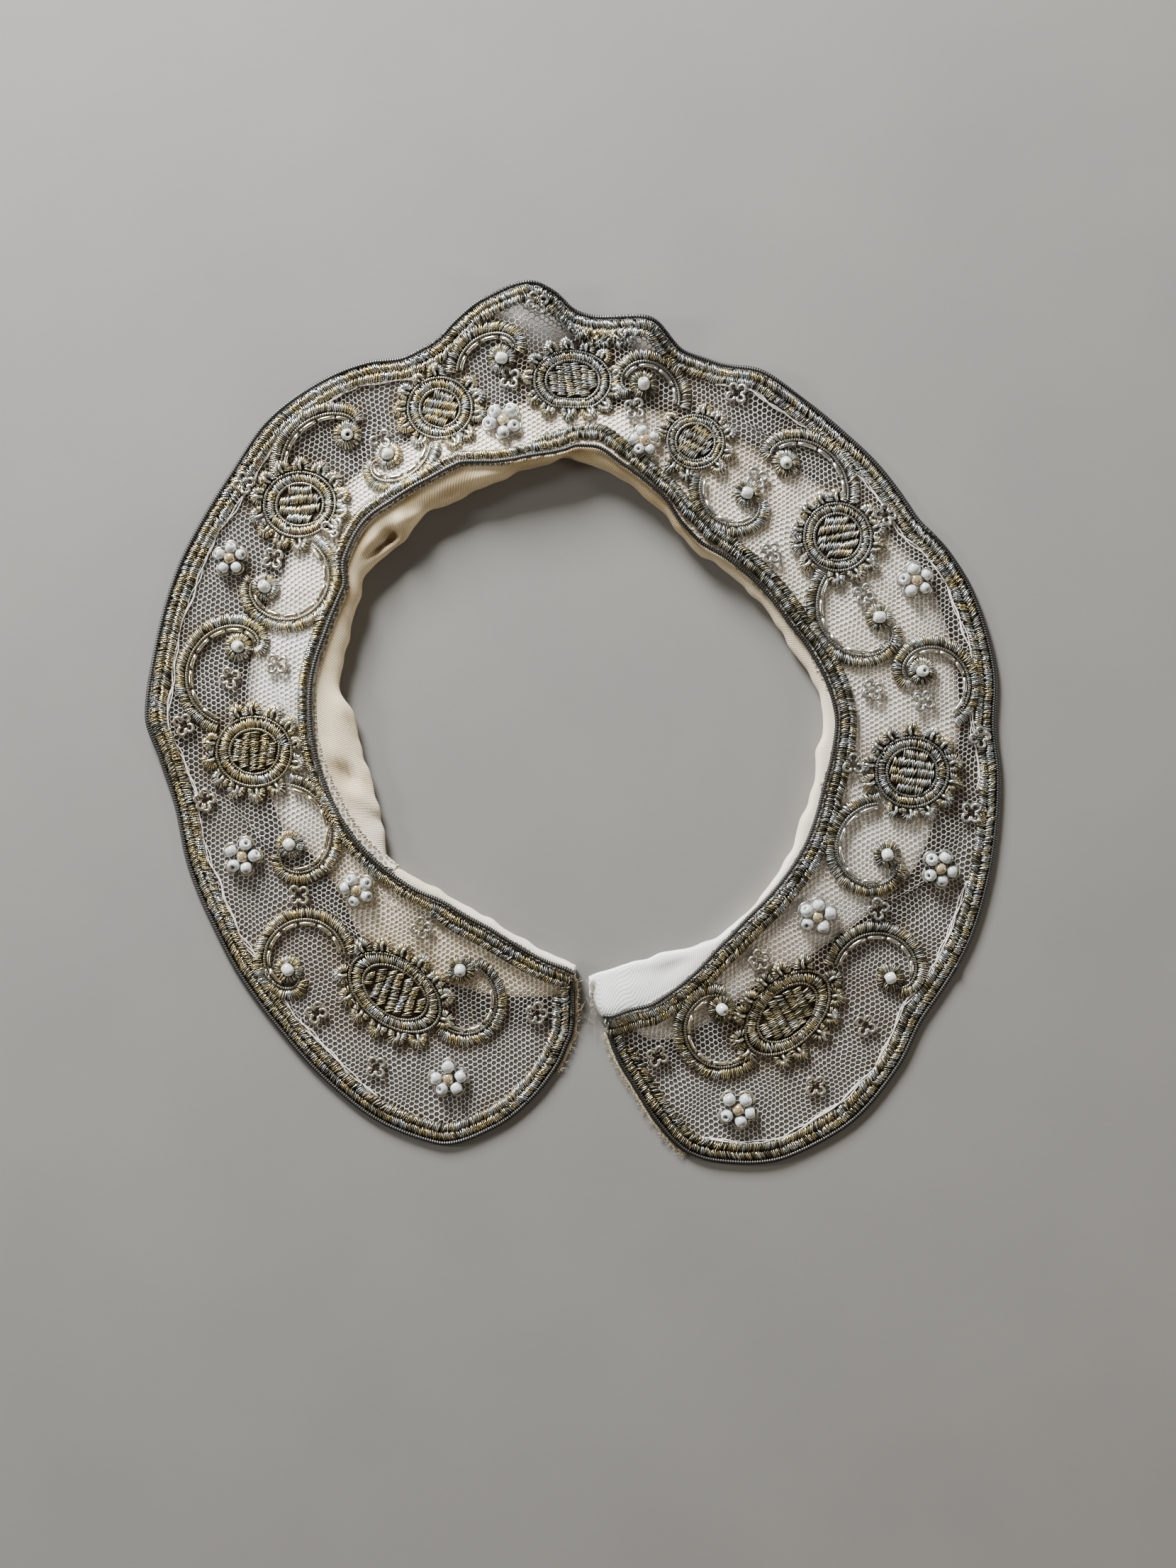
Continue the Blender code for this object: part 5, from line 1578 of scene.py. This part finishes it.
class COLLAR_OT_beads(bpy.types.Operator):
    """Make the glass bead flowers with their wire outlines, and the small flowers of wire loops"""

    bl_idname = "collar.beads"
    bl_label = "Beads and loops"

    def execute(self, context):
        settings = context.scene.collar
        rng = np.random.default_rng(51)
        whites, golds, outlines, loops = [], [], [], []
        for flower in BEAD_FLOWERS:
            for petal in range(5):
                angle = math.radians(flower.turn + 72 * petal) + rng.normal(0, 0.1)
                x, y = arc_points(flower, flower.size * rng.uniform(2.75, 3.15), angle)
                size = WHITE_SIZE * flower.size * rng.uniform(0.94, 1.05)
                turn = angle + rng.normal(0, 0.4)
                whites.append(Row(x, y, turn, size * rng.uniform(0.78, 0.92), size, size, 1.6))
                arc = np.linspace(angle - 1.5, angle + rng.uniform(0.6, 1.9), 22)
                outlines.append(settled(arc_points(whites[-1], 0.63 * size, arc), 0.6))
            golds.append(Row(flower.x, flower.y, rng.uniform(0, 3), 2.55, GILT_SIZE, GILT_SIZE, 1.6))
        for flower in LOOP_FLOWERS:
            for petal in range(flower.loops):
                angle = math.radians(flower.turn) + 2 * math.pi * petal / flower.loops + rng.normal(0, 0.12)
                size = rng.uniform(0.86, 0.98)
                x, y = arc_points(flower, 1.6, angle)
                arc = np.linspace(angle + math.pi + 0.35, angle + 3 * math.pi - 0.35, 19)
                ring = arc_points(Spot(x, y, 0, 1), size, arc)
                loops.append(settled(ring, 0.45 + 0.4 * np.sin(np.linspace(0, math.pi, 19))))
        nodes = numbered("bead_flower", BEAD_FLOWERS)
        glass = glass_material("white_pressed_glass", (*settings.glass_colour, 1.0), "#b0b3b2")
        tilt = rng.uniform(-0.15, 1.1, len(whites))
        add_copies("glass_beads", bead_shape(), whites, glass, "white_glass", *nodes, tilt=tilt)
        gold = glass_material("gilt_pearl_glass", "#cabb98", "#9a8660", 0.35)
        add_copies("gilt_beads", bead_shape(), golds, gold, "white_glass", tilt=0.1)
        wire = metal_material("flower_wire", settings, "#211d16", 0.22)
        # The wire's coils get painted shade on their sides and underside and between their turns.
        coil = Winding(pitch=0.56, groove=0.12, dark=0.4, rim=1.2)
        add_cords("bead_outlines", outlines, 0.33, wire, "pale_gold_purl", winding=coil, shade=-0.05)
        coil = Winding(pitch=0.56, groove=0.14, dark=0.5, rim=1.25, gilt=0.8)
        add_cords("loop_flowers", loops, 0.47, wire, "pale_gold_purl", winding=coil)
        return {"FINISHED"}


# Stage


# Area lights: where each stands, its size in metres, its power in watts and its colour.
Light = namedtuple("Light", "name place size power colour")
LIGHTS = table(
    Light,
    ("window", (-0.35, 0.82, 0.36), 0.3, 41.0, (0.97, 0.98, 1.0)),
    ("left_strip", (-0.95, 0.1, 0.38), 0.15, 5.5, (0.96, 0.98, 1.0)),
    ("right_strip", (0.95, -0.1, 0.38), 0.15, 2.9, (1.0, 0.95, 0.88)),
    ("fill", (0.2, -0.8, 0.9), 0.4, 0.9, (1.0, 0.8, 0.55)),
)
# Where the lights point, the colour and strength of the room's light, and the camera: its place, its
# lens and sensor in millimetres, and how near it sees.
LIT_SPOT = Vector((0, -0.01, 0))
WORLD_COLOUR = (1.0, 0.91, 0.78, 1.0)
WORLD_STRENGTH = 0.12
CAMERA_PLACE = (0.0036, -0.0144, 0.531)
CAMERA_LENS = 50
CAMERA_SENSOR = 36
CAMERA_CLIP = 0.01


class COLLAR_OT_stage(bpy.types.Operator):
    """Make the floor, the soft lights and the camera that looks straight down"""

    bl_idname = "collar.stage"
    bl_label = "Stage"

    def execute(self, context):
        scene = context.scene
        self.floor()
        for light in LIGHTS:
            data = bpy.data.lights.new(light.name, "AREA")
            data.size, data.energy, data.color = light.size, light.power, light.colour
            lamp = self.add(light.name, data, light.place)
            lamp.rotation_euler = (LIT_SPOT - lamp.location).to_track_quat("-Z", "Y").to_euler()
        world = bpy.data.worlds.new("studio")
        world.use_nodes = True
        world.node_tree.nodes["Background"].inputs["Color"].default_value = WORLD_COLOUR
        world.node_tree.nodes["Background"].inputs["Strength"].default_value = WORLD_STRENGTH
        scene.world = world
        data = bpy.data.cameras.new("camera")
        data.lens, data.sensor_width, data.clip_start = CAMERA_LENS, CAMERA_SENSOR, CAMERA_CLIP
        scene.camera = self.add("camera", data, CAMERA_PLACE)
        return {"FINISHED"}

    def add(self, name, data, place):
        """An object with this data at a place in the scene."""
        obj = bpy.data.objects.new(name, data)
        obj.location = place
        bpy.context.scene.collection.objects.link(obj)
        return obj

    def floor(self):
        """A plain floor of pale plaster, 4 m wide."""
        bm = bmesh.new()
        bmesh.ops.create_grid(bm, x_segments=1, y_segments=1, size=2.0)
        mesh = bpy.data.meshes.new("floor")
        bm.to_mesh(mesh)
        bm.free()
        made, add, shader = new_material("pale_plaster")
        place = add("ShaderNodeTexCoord", "Object", {})
        grain = add("ShaderNodeTexNoise", "Fac", {"Vector": place, "Scale": per_mm(40), "Detail": 6.0})
        shade = add("ShaderNodeMix", 2, {0: grain, 6: "#777572", 7: "#82807a"}, data_type="RGBA")
        fill(shader, {"Base Color": shade, "Roughness": 0.8})
        mesh.materials.append(made)
        self.add("floor", mesh, (0.0, 0.0, 0.0))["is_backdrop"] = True


class COLLAR_PT_panel(bpy.types.Panel):
    """The collar's settings and operators"""

    bl_idname = "COLLAR_PT_panel"
    bl_label = "Beaded collar"
    bl_space_type = "VIEW_3D"
    bl_region_type = "UI"
    bl_category = "Collar"

    def draw(self, context):
        settings = context.scene.collar
        for name in CollarSettings.__annotations__:
            self.layout.prop(settings, name)
        for operator in OPERATORS:
            self.layout.operator(operator.bl_idname)


OPERATORS = (
    COLLAR_OT_stage,
    COLLAR_OT_satin,
    COLLAR_OT_net,
    COLLAR_OT_borders,
    COLLAR_OT_medallions,
    COLLAR_OT_scrolls,
    COLLAR_OT_beads,
)
CLASSES = (CollarSettings, *OPERATORS, COLLAR_PT_panel)


def register():
    """Registers the classes and gives each scene the collar's settings."""
    for kind in CLASSES:
        bpy.utils.register_class(kind)
    bpy.types.Scene.collar = bpy.props.PointerProperty(type=CollarSettings)


def unregister():
    """Takes the settings and the classes away again."""
    del bpy.types.Scene.collar
    for kind in reversed(CLASSES):
        bpy.utils.unregister_class(kind)


def main():
    register()
    bpy.ops.collar.stage()
    bpy.ops.collar.satin()
    bpy.ops.collar.net()
    bpy.ops.collar.borders()
    bpy.ops.collar.medallions()
    bpy.ops.collar.scrolls()
    bpy.ops.collar.beads()
    boxes = {"cad": CAD_BOX, "visual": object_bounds()}
    {name: [list(corner) for corner in box] for name, box in boxes.items()}


if __name__ == "__main__":
    main()
